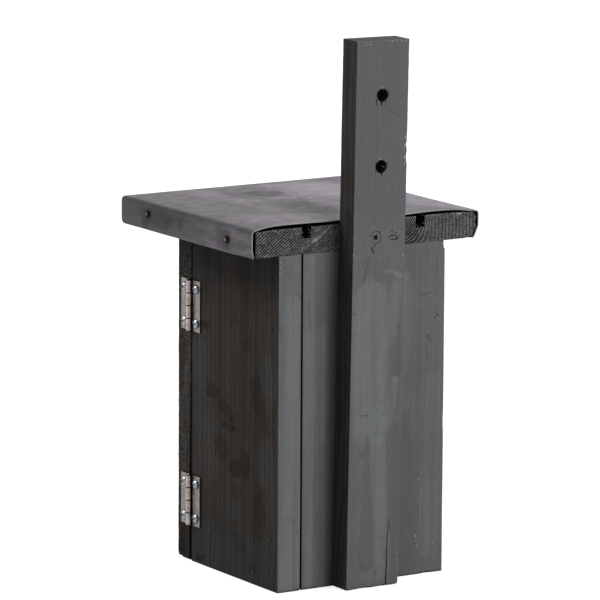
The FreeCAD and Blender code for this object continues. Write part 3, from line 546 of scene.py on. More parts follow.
def folded_side(name):
    """The sheet's folded sides: painted shade along the fold, dark stain and painted shadow at the nails,
    painted sheen paler towards the back, and lighter towards the foot.
    """
    f = Finish(name)
    warped = f.drifted((9, 9, 5), (20, 20, 12), 4.0)
    torn = f.drifted((3, 3, 3), (2.5, 2.5, 2.5))
    streaks = f.noise((22, 22, 4), 4, 3.0, 0.5)
    fine = f.noise((2.0, 2.0, 1.4), 3, 8.0)
    grain = f.noise((0.9, 0.9, 0.8), 1, 9.0)
    # Painted sheen, partly rubbing: paler towards the back
    rub_and_sheen = f.mul(f.band(f.y, *PALER_SHEEN_SPAN), f.band(streaks, 0.35, 0.6, 0.2, 0.5))
    colour = f.mix(rub_and_sheen, SHEET_SIDE, SHEET_PALE_SHEEN)
    colour = f.blots(colour, SHEET_DARK, FLAP_CLOUDS, 0.6, warped)
    # Painted shade along the fold; lighter towards the foot
    fold = f.band(f.add(f.z, f.mul(fine, 2.0)), *FOLD_SHADE)
    tone = f.mul(fold, f.band(f.z, *FLAP_FOOT_SHADE))
    colour = f.times(colour, f.mul(tone, f.level((streaks, 0.9), (fine, 0.5), (grain, 0.5))))
    # Dark stain and painted shadow round each nail
    for y, z in NAIL_PLACES:
        colour = f.blots(colour, SHEET_DARK, [(y, z - 1.5, 5.0, 5.5, 0.6)], 0.5, torn)
        colour = f.blots(colour, DARK_STAIN_AND_SHADE, [(y + 0.6, z + 0.2, 3.9, 3.6, 1.0)], 0.2, torn)
    normal = f.bump(grain, 0.02, f.bump(fine, 0.05))
    return f.shade(colour, f.band(streaks, 0.3, 0.7, 0.48, 0.62), normal, gloss=0.14)


def domed_nail(name):
    """A nail's dull brown dome, nearly black with age, with a painted highlight on it."""
    f = Finish(name)
    grain = f.noise((0.6, 0.6, 0.6), 2, 4.0)
    colour = f.mix(f.band(grain, 0.4, 0.65), NAIL_DARK, NAIL_BROWN)
    painted_highlights = [(y - 0.3, z - 0.2, 1.5, 1.1, 0.9) for y, z in NAIL_PLACES]
    colour = f.blots(colour, NAIL_PAINTED_HIGHLIGHT, painted_highlights, 0.5)
    return f.shade(colour, 0.5, f.bump(grain, 0.05), gloss=0.04)


KNUCKLE = 10.0
LOWER_HINGE, UPPER_HINGE = 29.0, 183.0
HINGES_APART = 126.0
BARREL_FACE = 76.4
# Painted shadow band beside the hinge barrels, across Y
HINGE_GAP_SHADOW = (-54.2, -50.4)
LEAF_FACE = 75.8
# Painted shade on the hinge leaves and painted highlight on the barrels
LEAF_PAINTED_SHADE, BARREL_PAINTED_HIGHLIGHT = 0.62, 1.3


def plated(name, colour, roughness, wear, brush, seed, metallic=1.0, shade_reach=0.0, hinge=False, wallward_shade=1.0):
    """Plated metal with fine brushing and faint stains.

    shade_reach is how wide a recess may be that painted shade darkens. hinge paints shade on the leaves, a
    highlight on the barrel and a shadow band beside it, and darkens the joints between its knuckles.
    wallward_shade is how bright, as painted shade, the faces are that look towards the wall.
    """
    f = Finish(name)
    lines = f.noise(brush, 3, seed)
    stains = f.noise((3.5, 3.5, 5.0), 3, seed + 2)
    grain = f.noise((0.35, 0.35, 0.35), 1, seed + 4)
    tone = f.level((lines, wear), (stains, wear * 1.6), (grain, wear * 0.6))
    # Painted shade on faces that look towards the wall
    facing = f.node("SeparateXYZ", f.node("TexCoord").outputs["Normal"]).outputs[1]
    shown = f.times(colour, f.mul(tone, f.band(facing, 0.1, 0.7, 1.0, wallward_shade)))
    # Painted shade in recesses and beside other pieces
    if shade_reach:
        shown = f.mix(f.painted_occlusion_shade(shade_reach, 0.95), shown, DARK_STAIN_AND_SHADE)
    if hinge:
        # Painted shade on the leaves, painted highlight on the barrel
        shown = f.times(shown, f.band(f.x, LEAF_FACE, BARREL_FACE, LEAF_PAINTED_SHADE, BARREL_PAINTED_HIGHLIGHT))
        # A painted shadow band beside the barrel
        off = f.math("ABSOLUTE", f.sub(f.y, sum(HINGE_GAP_SHADOW) / 2))
        half = (HINGE_GAP_SHADOW[1] - HINGE_GAP_SHADOW[0]) / 2
        below = f.math("LESS_THAN", f.x, BARREL_FACE)
        shown = f.mix(f.mul(f.band(off, half - 0.4, half + 0.4, 0.98, 0.0), below), shown, DARK_STAIN_AND_SHADE)
        upper = f.math("GREATER_THAN", f.z, HINGES_APART)
        start = f.math("MULTIPLY_ADD", upper, UPPER_HINGE - LOWER_HINGE, LOWER_HINGE)
        off = f.math("PINGPONG", f.sub(f.z, start), KNUCKLE / 2)
        joint = f.mul(f.band(off, 0.3, 0.7, 0.9, 0.0), f.math("GREATER_THAN", f.x, BARREL_FACE))
        shown = f.mix(joint, shown, DARK_STAIN_AND_SHADE)
    rough = f.band(stains, 0.3, 0.7, roughness - 0.06, roughness + 0.08)
    return f.shade(shown, rough, f.bump(f.add(lines, grain), 0.02), metallic=metallic)


def painted_fixing(name):
    """A screw or staple painted over with the wood; its recess is darkened by painted shade, tinted with
    rust.
    """
    f = Finish(name)
    grit = f.noise((0.9, 0.9, 0.9), 2, 3.0)
    cloud = f.noise((2.5, 2.5, 2.5), 2, 5.0)
    colour = f.times(PAINT, f.level((grit, 0.3), (cloud, 0.35)))
    rust = f.mix(f.band(cloud, 0.45, 0.6), DARK_STAIN_AND_SHADE, RUST)
    # Painted shade in the recess, tinted with rust
    colour = f.mix(f.painted_occlusion_shade(1.6, 1.0), colour, rust)
    return f.shade(colour, 0.62, f.bump(grit, 0.05), gloss=0.25)


# Boards as meshes: fine grid, eased edges, small waves and relief

EDGE_OFFSETS = (0.0, 0.22, 0.5, 0.9, 1.5)
EDGE_WEAR = 0.9
EASE_SPAN, WAVE_SPAN = 7.0, 35.0
DENT_POWER = 0.7
AXES = "XYZ"
SIDES = ("-X", "+X", "-Y", "+Y", "-Z", "+Z")
PLAIN_EASE, PLAIN_STEPS = (0.25, 0.7), (4, 4, 2.5)


def grid_lines(low, high, step):
    """Places along one axis: close together at both ends, where the edges are eased."""
    rim = EDGE_OFFSETS[-1]
    count = max(1, round((high - low - 2 * rim) / step))
    inner = np.linspace(low + rim, high - rim, count + 1)
    near = [low + offset for offset in EDGE_OFFSETS[:-1]]
    far = [high - offset for offset in reversed(EDGE_OFFSETS[:-1])]
    return np.concatenate([near, inner, far])


def lattice(lines):
    """The surface of a grid of lines: points, quads and each quad's side as a number into SIDES."""
    index, points, quads, sides = {}, [], [], []

    def corner(cell):
        if cell not in index:
            index[cell] = len(points)
            points.append([lines[axis][cell[axis]] for axis in range(3)])
        return index[cell]

    for axis in range(3):
        across, along = (axis + 1) % 3, (axis + 2) % 3
        for end, layer in enumerate((0, len(lines[axis]) - 1)):
            for i in range(len(lines[across]) - 1):
                for j in range(len(lines[along]) - 1):
                    quad = []
                    for step_across, step_along in ((0, 0), (1, 0), (1, 1), (0, 1)):
                        cell = [layer, layer, layer]
                        cell[across] = i + step_across
                        cell[along] = j + step_along
                        quad.append(corner(tuple(cell)))
                    quads.append(quad if end else quad[::-1])
                    sides.append(axis * 2 + end)
    return np.array(points, float), quads, sides


def ripple(points, length, seed):
    """Smooth noise from 0 to 1 at each point."""
    shift = Vector((seed * 7.3, seed * 3.1, seed * 5.7))
    return np.array([0.5 + 0.5 * noise.noise(Vector(p) / length + shift) for p in points])


def mesh_object(name, points, faces, materials, material_of=None, smooth=True):
    mesh = bpy.data.meshes.new(name)
    mesh.from_pydata([tuple(p) for p in np.asarray(points) * MM], [], faces)
    for material in materials:
        mesh.materials.append(material)
    if material_of is not None:
        mesh.polygons.foreach_set("material_index", material_of)
    mesh.polygons.foreach_set("use_smooth", [smooth] * len(mesh.polygons))
    mesh.update()
    made = bpy.data.objects.new(name, mesh)
    bpy.context.scene.collection.objects.link(made)
    return made


def face_outward(made):
    """Turns every closed shell's faces outward."""
    shell = bmesh.new()
    shell.from_mesh(made.data)
    bmesh.ops.recalc_face_normals(shell, faces=shell.faces)
    shell.to_mesh(made.data)
    shell.free()


def eased(name, ease=PLAIN_EASE, wave=0.12, relief=None, steps=PLAIN_STEPS, dents=(), shape=None, seed=0):
    """Points, quads, sides and edge wear of a board in the box of the CAD node of that name.

    relief deepens single sides: {side: (depth, length)}. dents hold (centre, radii, depth).
    shape is a box and a function that moves its points, for a board that isn't square.
    """
    low, high = (np.array(corner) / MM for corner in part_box(name))
    if shape is not None:
        low, high = (np.array(corner, float) for corner in shape[0])
    points, quads, sides = lattice([grid_lines(low[a], high[a], steps[a]) for a in range(3)])
    gaps = np.sort(np.concatenate([points - low, high - points], axis=1), axis=1)
    edge = np.exp(-gaps[:, 1] / EDGE_WEAR)
    radius = (ease[0] + (ease[1] - ease[0]) * ripple(points, EASE_SPAN, seed))[:, None]
    core = np.clip(points, low + radius, high - radius)
    out = points - core
    out /= np.linalg.norm(out, axis=1)[:, None]
    depth = wave * ripple(points, WAVE_SPAN, seed + 1)
    for side, (deep, length) in (relief or {}).items():
        axis, sign = AXES.index(side[1]), 1 if side[0] == "+" else -1
        facing = np.clip(out[:, axis] * sign, 0, 1)
        depth += facing * deep * ripple(points, length, seed + 2)
    for centre, radii, deep in dents:
        reach = np.linalg.norm((points - np.array(centre)) / np.array(radii), axis=1)
        depth += deep * np.clip(1 - reach, 0, 1) ** DENT_POWER
    points = core + out * (radius - depth[:, None])
    if shape is not None:
        points = shape[1](points)
    return points, quads, sides, edge


def board(name, finishes, **form):
    """A board formed as eased describes, with one finish for each of its sides."""
    points, quads, sides, edge = eased(name, **form)
    materials = list(dict.fromkeys(finishes[side] for side in SIDES))
    chosen = [materials.index(finishes[SIDES[side]]) for side in sides]
    made = mesh_object(name + "_board", points, quads, materials, chosen)
    made.data.attributes.new("edge", "FLOAT", "POINT").data.foreach_set("value", edge)
    return made


def ring(x, y, radius, count=40, rough=0.0, seed=0.0):
    """A round outline with a slightly torn rim."""
    outline = []
    for k in range(count):
        angle = 2 * math.pi * k / count
        place = Vector((math.cos(angle) * 2, math.sin(angle) * 2, seed))
        reach = radius + rough * noise.noise(place)
        outline.append((x + reach * math.cos(angle), y + reach * math.sin(angle)))
    return outline


def split(path, widths):
    """The outline of a crack that follows a path with these widths."""
    line = [Vector(p) for p in path]
    left, right = [], []
    for k, (point, width) in enumerate(zip(line, widths)):
        ahead = line[min(k + 1, len(line) - 1)] - line[max(k - 1, 0)]
        side = Vector((-ahead.y, ahead.x)).normalized() * width / 2
        left.append(tuple(point + side))
        right.append(tuple(point - side))
    return left + right[::-1]


def tube(count, levels=2):
    """Quads between rings of this many points."""
    quads = []
    for level in range(levels - 1):
        here, there = level * count, (level + 1) * count
        for k in range(count):
            after = (k + 1) % count
            quads.append([here + k, here + after, there + after, there + k])
    return quads


def capped_tube(count, levels=2):
    last = (levels - 1) * count
    return tube(count, levels) + [list(range(count))[::-1], list(range(last, last + count))]


def prism(outline, start, end, axis):
    """Points and faces of an outline drawn along one axis; an outline's pair is in the other two axes."""
    points = []
    for reach in (start, end):
        for first, second in outline:
            point = [first, second]
            point.insert(AXES.index(axis), reach)
            points.append(point)
    return points, capped_tube(len(outline))


def joined(pieces):
    """Points and faces of several pieces as one list each."""
    points, faces = [], []
    for more_points, more_faces in pieces:
        faces += [[len(points) + k for k in face] for face in more_faces]
        points += more_points
    return points, faces


def carve(piece, prisms, material):
    """Cuts prisms that don't meet each other out of a piece; the cut faces get that material."""
    cutter = mesh_object("cutter", *joined(prisms), [material], smooth=False)
    face_outward(cutter)
    modifier = piece.modifiers.new("cut", "BOOLEAN")
    modifier.object = cutter
    modifier.solver = "EXACT"
    modifier.material_mode = "TRANSFER"
    graph = bpy.context.evaluated_depsgraph_get()
    cut = bpy.data.meshes.new_from_object(piece.evaluated_get(graph))
    piece.modifiers.clear()
    piece.data = cut
    bpy.data.objects.remove(cutter)


def stand_for(piece, node, body):
    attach(piece, body)
    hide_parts(node)


# Marks that the photograph shows on the painted back: second-coat tongues, bare spots, scratches

LIGHT, DARK, BROWN = PAINT_THICK, PAINT_THIN, PAINT_BROWNED
BACK_STROKES = (
    (LIGHT, (64.5, 262), (63.5, 0), 9, 11, 0.3, 3, 0),
    (LIGHT, (62.5, 215), (63, 10), 8, 11, 0.35, 6, 0),
    (LIGHT, (62.2, 223), (61.7, 152), 6.8, 5, 0.4, 2.5, 0.3),
    (LIGHT, (63.9, 73), (63.6, 8), 5.5, 7.5, 0.3, 2.5, 0.25),
    (LIGHT, (47.4, 256), (47, 6), 4.6, 5, 0.55, 2.5, 0),
    (LIGHT, (34.5, 200), (33.8, 114.5), 5.2, 4.6, 0.22, 1.5, 0.2),
    (LIGHT, (-40, 236), (-40.8, 164), 3.4, 2.6, 0.45, 1.5, 0.25),
    (LIGHT, (-44.6, 230), (-44.8, 176), 0.9, 0.7, 0.35, 1.2, 0),
    (DARK, (-41, 126), (-43, 8), 5, 10, 0.85, 5, 0),
    (LIGHT, (-65.2, 152), (-62.8, 20), 6.4, 9, 0.2, 0.9, 0.35),
    (LIGHT, (-59.5, 70), (-57.6, 20), 4.5, 6.2, 0.25, 0.8, 0.4),
    # A painted shadow of the batten on the back, just beside it
    (STAIN_GREY, (27, 256), (28.5, 4), 4.5, 4.5, 0.4, 3, 0),
    (BROWN, (73.2, 207), (72.2, 195), 2.6, 2, 0.8, 2, 0),
    (BROWN, (47.8, 221), (46.8, 203), 2.2, 1.6, 0.55, 2, 0),
    (DARK, (66, 249), (66, 238), 6, 5, 0.4, 6, 0),
    (BROWN, (66, 57), (60, 54), 4, 2, 0.35, 3, 0),
)
BACK_PITS = (
    (-66.3, 204.8, 0.7), (-66.1, 200.6, 0.9), (-67.9, 144.1, 0.5), (-39.8, 142.6, 0.6),
    (-44.4, 137, 0.6), (-60, 186.6, 0.8), (-62.4, 184, 0.7), (58, 46, 0.8),
)
BACK_CHIPS = (
    (73.2, 255.6, 0.6), (72.8, 251, 0.6), (73.4, 247.6, 0.5),
)
BACK_FLECKS = (
    (-52.2, 75.4, 0.7), (-50.3, 30.6, 0.9), (-50.8, 26.4, 0.5), (-51.4, 22.8, 0.6), (-66, 24, 0.5),
    (-52.8, 61, 0.35),
)
BACK_SCRATCHES = (
    ((-53.6, 218.5), (-62.2, 220.8), 0.45), ((-67, 246), (-67.8, 238), 0.35),
    ((-57.8, 178), (-60.4, 168), 0.4), ((-62.1, 183), (-59.4, 187.6), 0.5),
    ((-58.4, 183.4), (-59.6, 186.8), 0.4),
)
BATTEN_STROKES = (
    (LIGHT, (4.8, 222), (4.2, 128), 17.5, 16.5, 0.55, 4, 0),
    (LIGHT, (4.2, 130), (1, 14), 15, 13, 0.4, 6, 0),
    (LIGHT, (-18, 231), (-10.5, 190), 5.4, 4.5, 0.45, 2.2, 0.3),
    (LIGHT, (11.5, 230), (11.3, 176), 5.6, 5.2, 0.1, 1.5, 0.4),
    (LIGHT, (-1, 232), (-1.3, 176), 6.2, 5.2, 0.12, 1.5, 0.4),
    (DARK, (-1.4, 229), (-1.6, 180), 3.4, 3, 0.16, 2, 0.1),
    (LIGHT, (-4.4, 148), (-0.6, 196), 3.2, 4.4, 0.12, 1.2, 0.4),
    (LIGHT, (-20.6, 240.5), (-9, 246), 3.2, 1, 0.85, 2.4, 0),
    (DARK, (-20.7, 204), (-18.2, 166), 1.2, 5, 0.85, 1.2, 0),
    (LIGHT, (-16.4, 160), (-10, 128), 3.6, 4.4, 0.45, 1.5, 0.3),
    (DARK, (7.6, 116), (7.8, 20), 2.6, 8, 0.8, 1.6, 0.2),
    (DARK, (-19.4, 122), (-19, 8), 4.4, 4.8, 0.8, 1.6, 0),
    (LIGHT, (-2.4, 114), (-4.6, 52), 6.6, 5.6, 0.3, 1.8, 0.3),
    (DARK, (8, 330), (4, 300), 10, 12, 0.2, 9, 0),
    (DARK, (-14, 418), (-14, 372), 15, 6, 0.45, 12, 0),
    (DARK, (-3, 450), (-2, 312), 40, 36, 0.65, 14, 0),
    (BROWN, (13.8, 103.6), (10.4, 104.6), 2.4, 2.1, 1, 1, 0),
    (LIGHT, (12, 419.2), (5, 418.8), 0.9, 0.5, 0.8, 0.8, 0),
    (BROWN, (-6.2, 110.2), (-9.4, 110.2), 0.8, 0.7, 0.5, 0.6, 0),
)
BATTEN_PITS = (
    (-13.6, 241.3, 0.7), (-5, 250.9, 0.5), (19.8, 213.6, 0.8), (20.1, 197.5, 0.6), (7.8, 134.9, 0.7),
    (11, 17.5, 0.7), (16, 33.4, 0.7), (-1.6, 12, 0.9),
)
BATTEN_CHIPS = (
    (20.8, 263.5, 0.7), (21.1, 259.7, 0.8), (21.2, 252, 0.7), (-15.2, 311, 0.5), (-23.3, 255.4, 0.7),
    (-24.6, 346, 0.8), (-24.5, 340.4, 0.9), (-24.4, 331, 1), (-24, 325.4, 0.7), (-3.6, 385.1, 0.9),
    (-2.2, 330.9, 0.7), (-9.8, 420.3, 0.5), (-12.1, 420.1, 0.7), (-14.9, 420.2, 0.35),
    (-20.6, 419.7, 0.6), (-6.3, 420.6, 0.4), (-17.2, 420, 0.45), (-24.4, 419.7, 0.5),
    (-26.1, 419.4, 0.35),
)
BATTEN_FLECKS = (
    (-20.4, 68, 0.45), (-19.4, 56.6, 0.4), (-19.2, 24.6, 0.45), (-21, 19.4, 0.7), (-21, 16.8, 0.6),
    (-20.8, 82, 0.35),
)
BATTEN_SCRATCHES = (
    ((4.7, 420.5), (4.6, 416.6), 0.3), ((7.6, 254.7), (11.7, 238.9), 0.5),
    ((-9.6, 368.6), (-19.6, 361.4), 0.35), ((13, 135.2), (9, 134.8), 0.4),
    ((-5.5, 134.2), (-10.5, 134.5), 0.25), ((-11, 30), (-8, 22), 0.4), ((12, 300), (6, 312), 0.25),
)

# Marks on the stained side walls

SIDE_GREYS = (
    (-47, 231, 8, 11, 0.8), (-20, 227, 6, 9, 0.6), (-34, 201, 8, 8, 0.6), (-42, 164, 13, 26, 0.95),
    (-36, 139, 12, 10, 0.5), (-38, 116, 12, 22, 0.8), (-22, 98, 13, 24, 0.7), (-36, 80, 15, 16, 0.5),
    (61, 162, 12, 20, 0.95), (57, 97, 14, 17, 0.9), (67, 56, 8, 44, 0.9), (6, 52, 12, 8, 0.6),
    (0, 16, 90, 22, 0.95), (54, 204, 9, 6, 0.3), (27, 106, 2.5, 5, 0.8),
)
# The first blot, a wide band along the top under the roof, is painted shadow of the roof; the rest are
# stain
SIDE_BLOTS = (
    (2, 246, 70, 12, 0.35), (-24, 246, 12, 8, 0.5), (2, 236, 20, 10, 0.4), (-32, 191, 7, 5, 0.75),
    (11, 203, 5, 8, 0.5), (28, 185, 5, 6, 0.5), (-22, 141, 10, 6, 1), (-5, 131, 8, 6, 0.9),
    (5, 125, 8, 4, 0.9), (3, 116.5, 11, 3.2, 1), (-14, 104, 8, 6, 0.5), (-6, 97, 12, 9, 0.7),
    (16, 86, 16, 7, 1), (26, 93, 8, 9, 0.8), (46, 140, 10, 8, 0.65), (42, 153, 8, 12, 0.7),
    (52, 128, 10, 8, 0.45), (49, 60, 9, 14, 0.6), (14, 66, 8, 8, 0.5), (49, 38, 4, 3, 0.6),
    (0, 33, 22, 4, 0.4), (20, 27, 10, 5, 0.5), (36, 13, 7, 5, 0.6), (-41, 5, 7, 2.4, 1),
)
FAR_BLOTS = (
    (0, 150, 30, 60, 0.35), (12, 90, 6, 4, 0.7), (-20, 190, 5, 3.5, 0.7),
)
SIDE_DOTS = (
    (-14.6, 234.2, 0.9), (19.2, 238.4, 0.9), (10.7, 235.6, 0.6), (32, 132, 0.9), (-38.4, 5.6, 2.6),
    (-42, 4.4, 2),
)
SIDE_SMUDGES = (
    ((-6, 117.4), (12, 116.2), 2, 1.5, 0.8),
    ((-25, 145), (-20, 137), 2.4, 2.2, 0.5),
    ((-3, 133), (7, 121), 1.2, 1.6, 0.55),
    ((10, 92), (24, 84), 1.6, 2.4, 0.35),
)

back_paint = brushed_paint(
    "back_paint", BACK_STROKES, BACK_CHIPS, BACK_PITS, BACK_SCRATCHES, BACK_FLECKS, 1.7, 1.0
)
batten_paint = brushed_paint(
    "batten_paint", BATTEN_STROKES, BATTEN_CHIPS, BATTEN_PITS, BATTEN_SCRATCHES, BATTEN_FLECKS, 1.0, 4.0
)
plain_paint = brushed_paint("plain_paint", seed=9.0)
side_stain = stained_grain(
    "side_stain", (0.75, 1.0), SIDE_GREYS, SIDE_BLOTS, SIDE_DOTS, SIDE_SMUDGES, True, seed=2.0
)
far_stain = stained_grain("far_stain", (0.3, 1.0), blots=FAR_BLOTS, seed=6.0)
dark_edge = sawn_edge("dark_edge", 0.85, seed=3.0)
batten_edge = stained_grain("batten_edge", (0.1, 0.8), tone=0.85, seed=5.0)
pitted_edge = sawn_edge("pitted_edge", 1.85, 0.5, 1.0, 8.0, True)
plain_end = ringed_end("plain_end", ringed=False, seed=2.0)
batten_end = ringed_end("batten_end", TOP_LINE, TOP_VALLEY, False, 6.0)
roof_end = ringed_end("roof_end", seed=4.0)
pine = bare_pine("pine", seed=1.0)
door_lining = bare_pine("door_lining", True, 3.0)
torn_wood = sawn_edge("torn_wood", 0.45, 0.9, 0.6, 12.0)
# Near black: painted shade in the gap under the sheet and in the roof's grooves
shaded_covered_wood = sawn_edge("shaded_covered_wood", 0.1, 0.5, 0.6, 13.0)
fibre_wood = sawn_edge("fibre_wood", 3.0, 0.3, 0.2, 14.0)
sheet_face = clouded_sheet("sheet_face")
sheet_side = folded_side("sheet_side")
sheet_cut = plated("sheet_cut", SHEET_EDGE, 0.45, 0.3, (3, 3, 3), 1.0, 0.6)
# The sheet's inner skin is painted shade
sheet_under_shade = plated("sheet_under_shade", SHEET_UNDER_SHADE, 0.8, 0.4, (6, 6, 6), 5.0, 0.0)
nickel = plated("nickel", NICKEL, 0.34, 1.1, (5, 5, 0.5), 2.0, 1.0, 0.9, True, 0.6)
zinc = plated("zinc", ZINC, 0.24, 0.5, (1, 1, 1), 3.0, 1.0, 1.2, wallward_shade=0.55)
nail_metal = domed_nail("nail_metal")
fixing_paint = painted_fixing("fixing_paint")
END_GRAIN = {"minus_z": plain_end, "plus_z": plain_end}


def faces(outer, **others):
    """One finish for all six sides, apart from those named minus_x, plus_y and so on."""
    signs = {"minus": "-", "plus": "+"}
    chosen = {side: outer for side in SIDES}
    for name, finish in others.items():
        sign, axis = name.split("_")
        chosen[signs[sign] + axis.upper()] = finish
    return chosen


# Walls, door and floor

HINGE_FACE, LATCH_FACE = 74.75, -74.75
BACK_FACE, FRONT_FACE = 74.5, -74.5
PAST = 1.0
BRAD_MOUTH = 1.05
BRAD_DEPTH = 1.9
DIMPLE_DEPTH = 0.45
CORNER_BRAD_HEIGHTS = (242, 202, 125, 40)
CORNER_BRAD_Y = 66.5
BACK_DIMPLE = (-67.75, 202)
BACK_CHIP = [(-76, 253.4), (-73.9, 253.9), (-73.3, 257), (-73.5, 261), (-76, 261)]
BACK_CHIP_DEPTH = 4.0
FLOOR_BRAD_HEIGHT = 8
FLOOR_BRAD_REACH = 34


def brad_mouths(axis, face, inward, places, depth=BRAD_DEPTH):
    """Small round mouths over the set brads of one face."""
    start, end = sorted((face - inward * PAST, face + inward * depth))
    return [prism(ring(u, v, BRAD_MOUTH, 14), start, end, axis) for u, v in places]


def build_walls():
    corner_brads = [(CORNER_BRAD_Y, z) for z in CORNER_BRAD_HEIGHTS]
    floor_brads = [(end * FLOOR_BRAD_REACH, FLOOR_BRAD_HEIGHT) for end in (1, -1)]
    hinge_wall = board(
        "hinge_side_wall",
        faces(dark_edge, plus_x=side_stain, plus_y=back_paint, minus_x=pine, **END_GRAIN),
        ease=(0.15, 0.45),
        dents=(
            ((HINGE_FACE, BACK_FACE, 252), (3, 3, 9), 0.4),
            ((HINGE_FACE, BACK_FACE, 150), (2, 2, 12), 0.3),
        ),
        seed=1,
    )
    carve(hinge_wall, brad_mouths("X", HINGE_FACE, -1, corner_brads + floor_brads), torn_wood)
    stand_for(hinge_wall, "hinge_side_wall", "box")

    latch_wall = board(
        "latch_side_wall",
        faces(dark_edge, minus_x=far_stain, minus_y=plain_paint, plus_x=pine, **END_GRAIN),
        seed=2,
    )
    carve(latch_wall, brad_mouths("X", LATCH_FACE, 1, floor_brads), torn_wood)
    stand_for(latch_wall, "latch_side_wall", "box")

    back = board(
        "back_panel",
        faces(dark_edge, plus_y=back_paint, minus_y=pine, minus_x=far_stain, **END_GRAIN),
        ease=(0.15, 0.4),
        relief={"-Z": (0.9, 2.5)},
        steps=(2.5, 4, 2),
        dents=(((LATCH_FACE, BACK_FACE, 120), (2, 2, 9), 0.3), ((-60, BACK_FACE, 0), (9, 3, 2), 0.5)),
        seed=3,
    )
    carve(back, brad_mouths("Y", BACK_FACE, -1, [BACK_DIMPLE], DIMPLE_DEPTH), back_paint)
    carve(back, [prism(BACK_CHIP, BACK_FACE - BACK_CHIP_DEPTH, BACK_FACE + PAST, "Y")], torn_wood)
    stand_for(back, "back_panel", "box")


ENTRANCE = (0.0, 185.0)
ENTRANCE_RADIUS = 16.0
ENTRANCE_FROM, ENTRANCE_TO = -76, -53
DOOR_FOOT = 0.5
DRAIN_REACH = 36.75
DRAIN_Y = 36.5
DRAIN_RADIUS = 3.0
DRAIN_FROM, DRAIN_TO = -2, 22


def build_door_and_floor():
    door = board(
        "front_door",
        faces(dark_edge, minus_y=plain_paint, plus_x=pitted_edge, plus_y=door_lining, **END_GRAIN),
        ease=(0.2, 0.7),
        wave=0.06,
        relief={"+X": (0.8, 2.0)},
        steps=(4, 1.6, 1.2),
        dents=(((HINGE_FACE, FRONT_FACE, DOOR_FOOT), (4, 8, 3), 1.4),),
        seed=4,
    )
    entrance = ring(*ENTRANCE, ENTRANCE_RADIUS, 96, 0.15)
    carve(door, [prism(entrance, ENTRANCE_FROM, ENTRANCE_TO, "Y")], dark_edge)
    stand_for(door, "front_door", "door")

    floor = board("floor_board", faces(dark_edge, plus_z=pine), steps=(4, 4, 4), seed=5)
    drains = []
    for x in (DRAIN_REACH, -DRAIN_REACH):
        for y in (DRAIN_Y, -DRAIN_Y):
            drains.append(prism(ring(x, y, DRAIN_RADIUS, 32, 0.1), DRAIN_FROM, DRAIN_TO, "Z"))
    carve(floor, drains, torn_wood)
    stand_for(floor, "floor_board", "box")


# Roof board

ROOF_LOW, ROOF_HIGH = (-103.25, -121.0, 260.0), (95.5, 74.5, 280.0)
BEVEL_HEIGHT, BEVEL_WIDTH, BEVEL_REACH = 9.0, 4.0, 20.0
GROOVES = ((46.25, 54.25), (-55.75, -47.75))
GROOVE_FLOOR, GROOVE_TOP = 272.0, 283.0
SLOT_SAG, SLOT_TEAR = 0.5, 0.35
SLOT_STEP, SLOT_START = 0.9, 1.6
CUP_REACH, CUP_FOOT = 40.0, 268.0
CUP_AT_HINGES, CUP_AT_LATCH = 0.24, 0.42


def shape_roof(points):
    """Draws the lower part of the latch-side edge inward and lifts the back end's top, which has cupped."""
    low = np.clip((ROOF_LOW[2] + BEVEL_HEIGHT - points[:, 2]) / BEVEL_HEIGHT, 0, 1)
    near = np.clip(1 - (points[:, 0] - ROOF_LOW[0]) / BEVEL_REACH, 0, 1)
    points[:, 0] += BEVEL_WIDTH * low * near
    high = np.clip((points[:, 2] - CUP_FOOT) / (ROOF_HIGH[2] - CUP_FOOT), 0, 1)
    back = np.clip((points[:, 1] - ROOF_HIGH[1] + CUP_REACH) / CUP_REACH, 0, 1)
    points[:, 2] += high * back * np.array([cupped(x) for x in points[:, 0]])
    return points


def cupped(x):
    """How far the board's back end is lifted at x."""
    return (CUP_AT_HINGES if x > 0 else CUP_AT_LATCH) * hump(x)


def torn_slot(left, right, floor, top, seed):
    """The outline of a relief groove with a broken rim and an uneven floor."""
    outline = []
    for k, t in enumerate(np.linspace(0, 1, 9)):
        sag = SLOT_SAG * noise.noise(Vector((k * SLOT_STEP, seed, 0)))
        outline.append((left + (right - left) * t, floor + sag))
    for side, order in ((right, 1), (left, -1)):
        levels = np.linspace(floor + SLOT_START, top, 6)[::order]
        for k, z in enumerate(levels):
            tear = SLOT_TEAR * noise.noise(Vector((z * SLOT_STEP, seed + side, k)))
            outline.append((side + tear, z))
    return outline


def build_roof_board():
    roof = board(
        "roof_board",
        faces(shaded_covered_wood, plus_y=roof_end, minus_y=roof_end, minus_z=far_stain),
        ease=(0.1, 0.4),
        relief={"+Y": (0.4, 1.9), "-Y": (0.4, 1.9)},
        shape=((ROOF_LOW, ROOF_HIGH), shape_roof),
        steps=(1.5, 6, 1.5),
        dents=(
            ((-88, ROOF_HIGH[1], 280), (2.5, 2, 2), 0.5),
            ((-103, ROOF_HIGH[1], 279), (3, 3, 3), 1.4),
            ((-103, ROOF_HIGH[1], 272), (2, 3, 3), 0.8),
            ((-99, ROOF_HIGH[1], 261), (3, 2, 2), 0.8),
            ((95.5, ROOF_HIGH[1], 275), (1.6, 3, 7), 0.5),
        ),
        seed=6,
    )
    slots = []
    for number, groove in enumerate(GROOVES):
        outline = torn_slot(*groove, GROOVE_FLOOR, GROOVE_TOP, number)
        slots.append(prism(outline, ROOF_LOW[1] - PAST, ROOF_HIGH[1] + PAST, "Y"))
    carve(roof, slots, shaded_covered_wood)
    stand_for(roof, "roof_board", "box")


# Batten with its fixing holes and splits

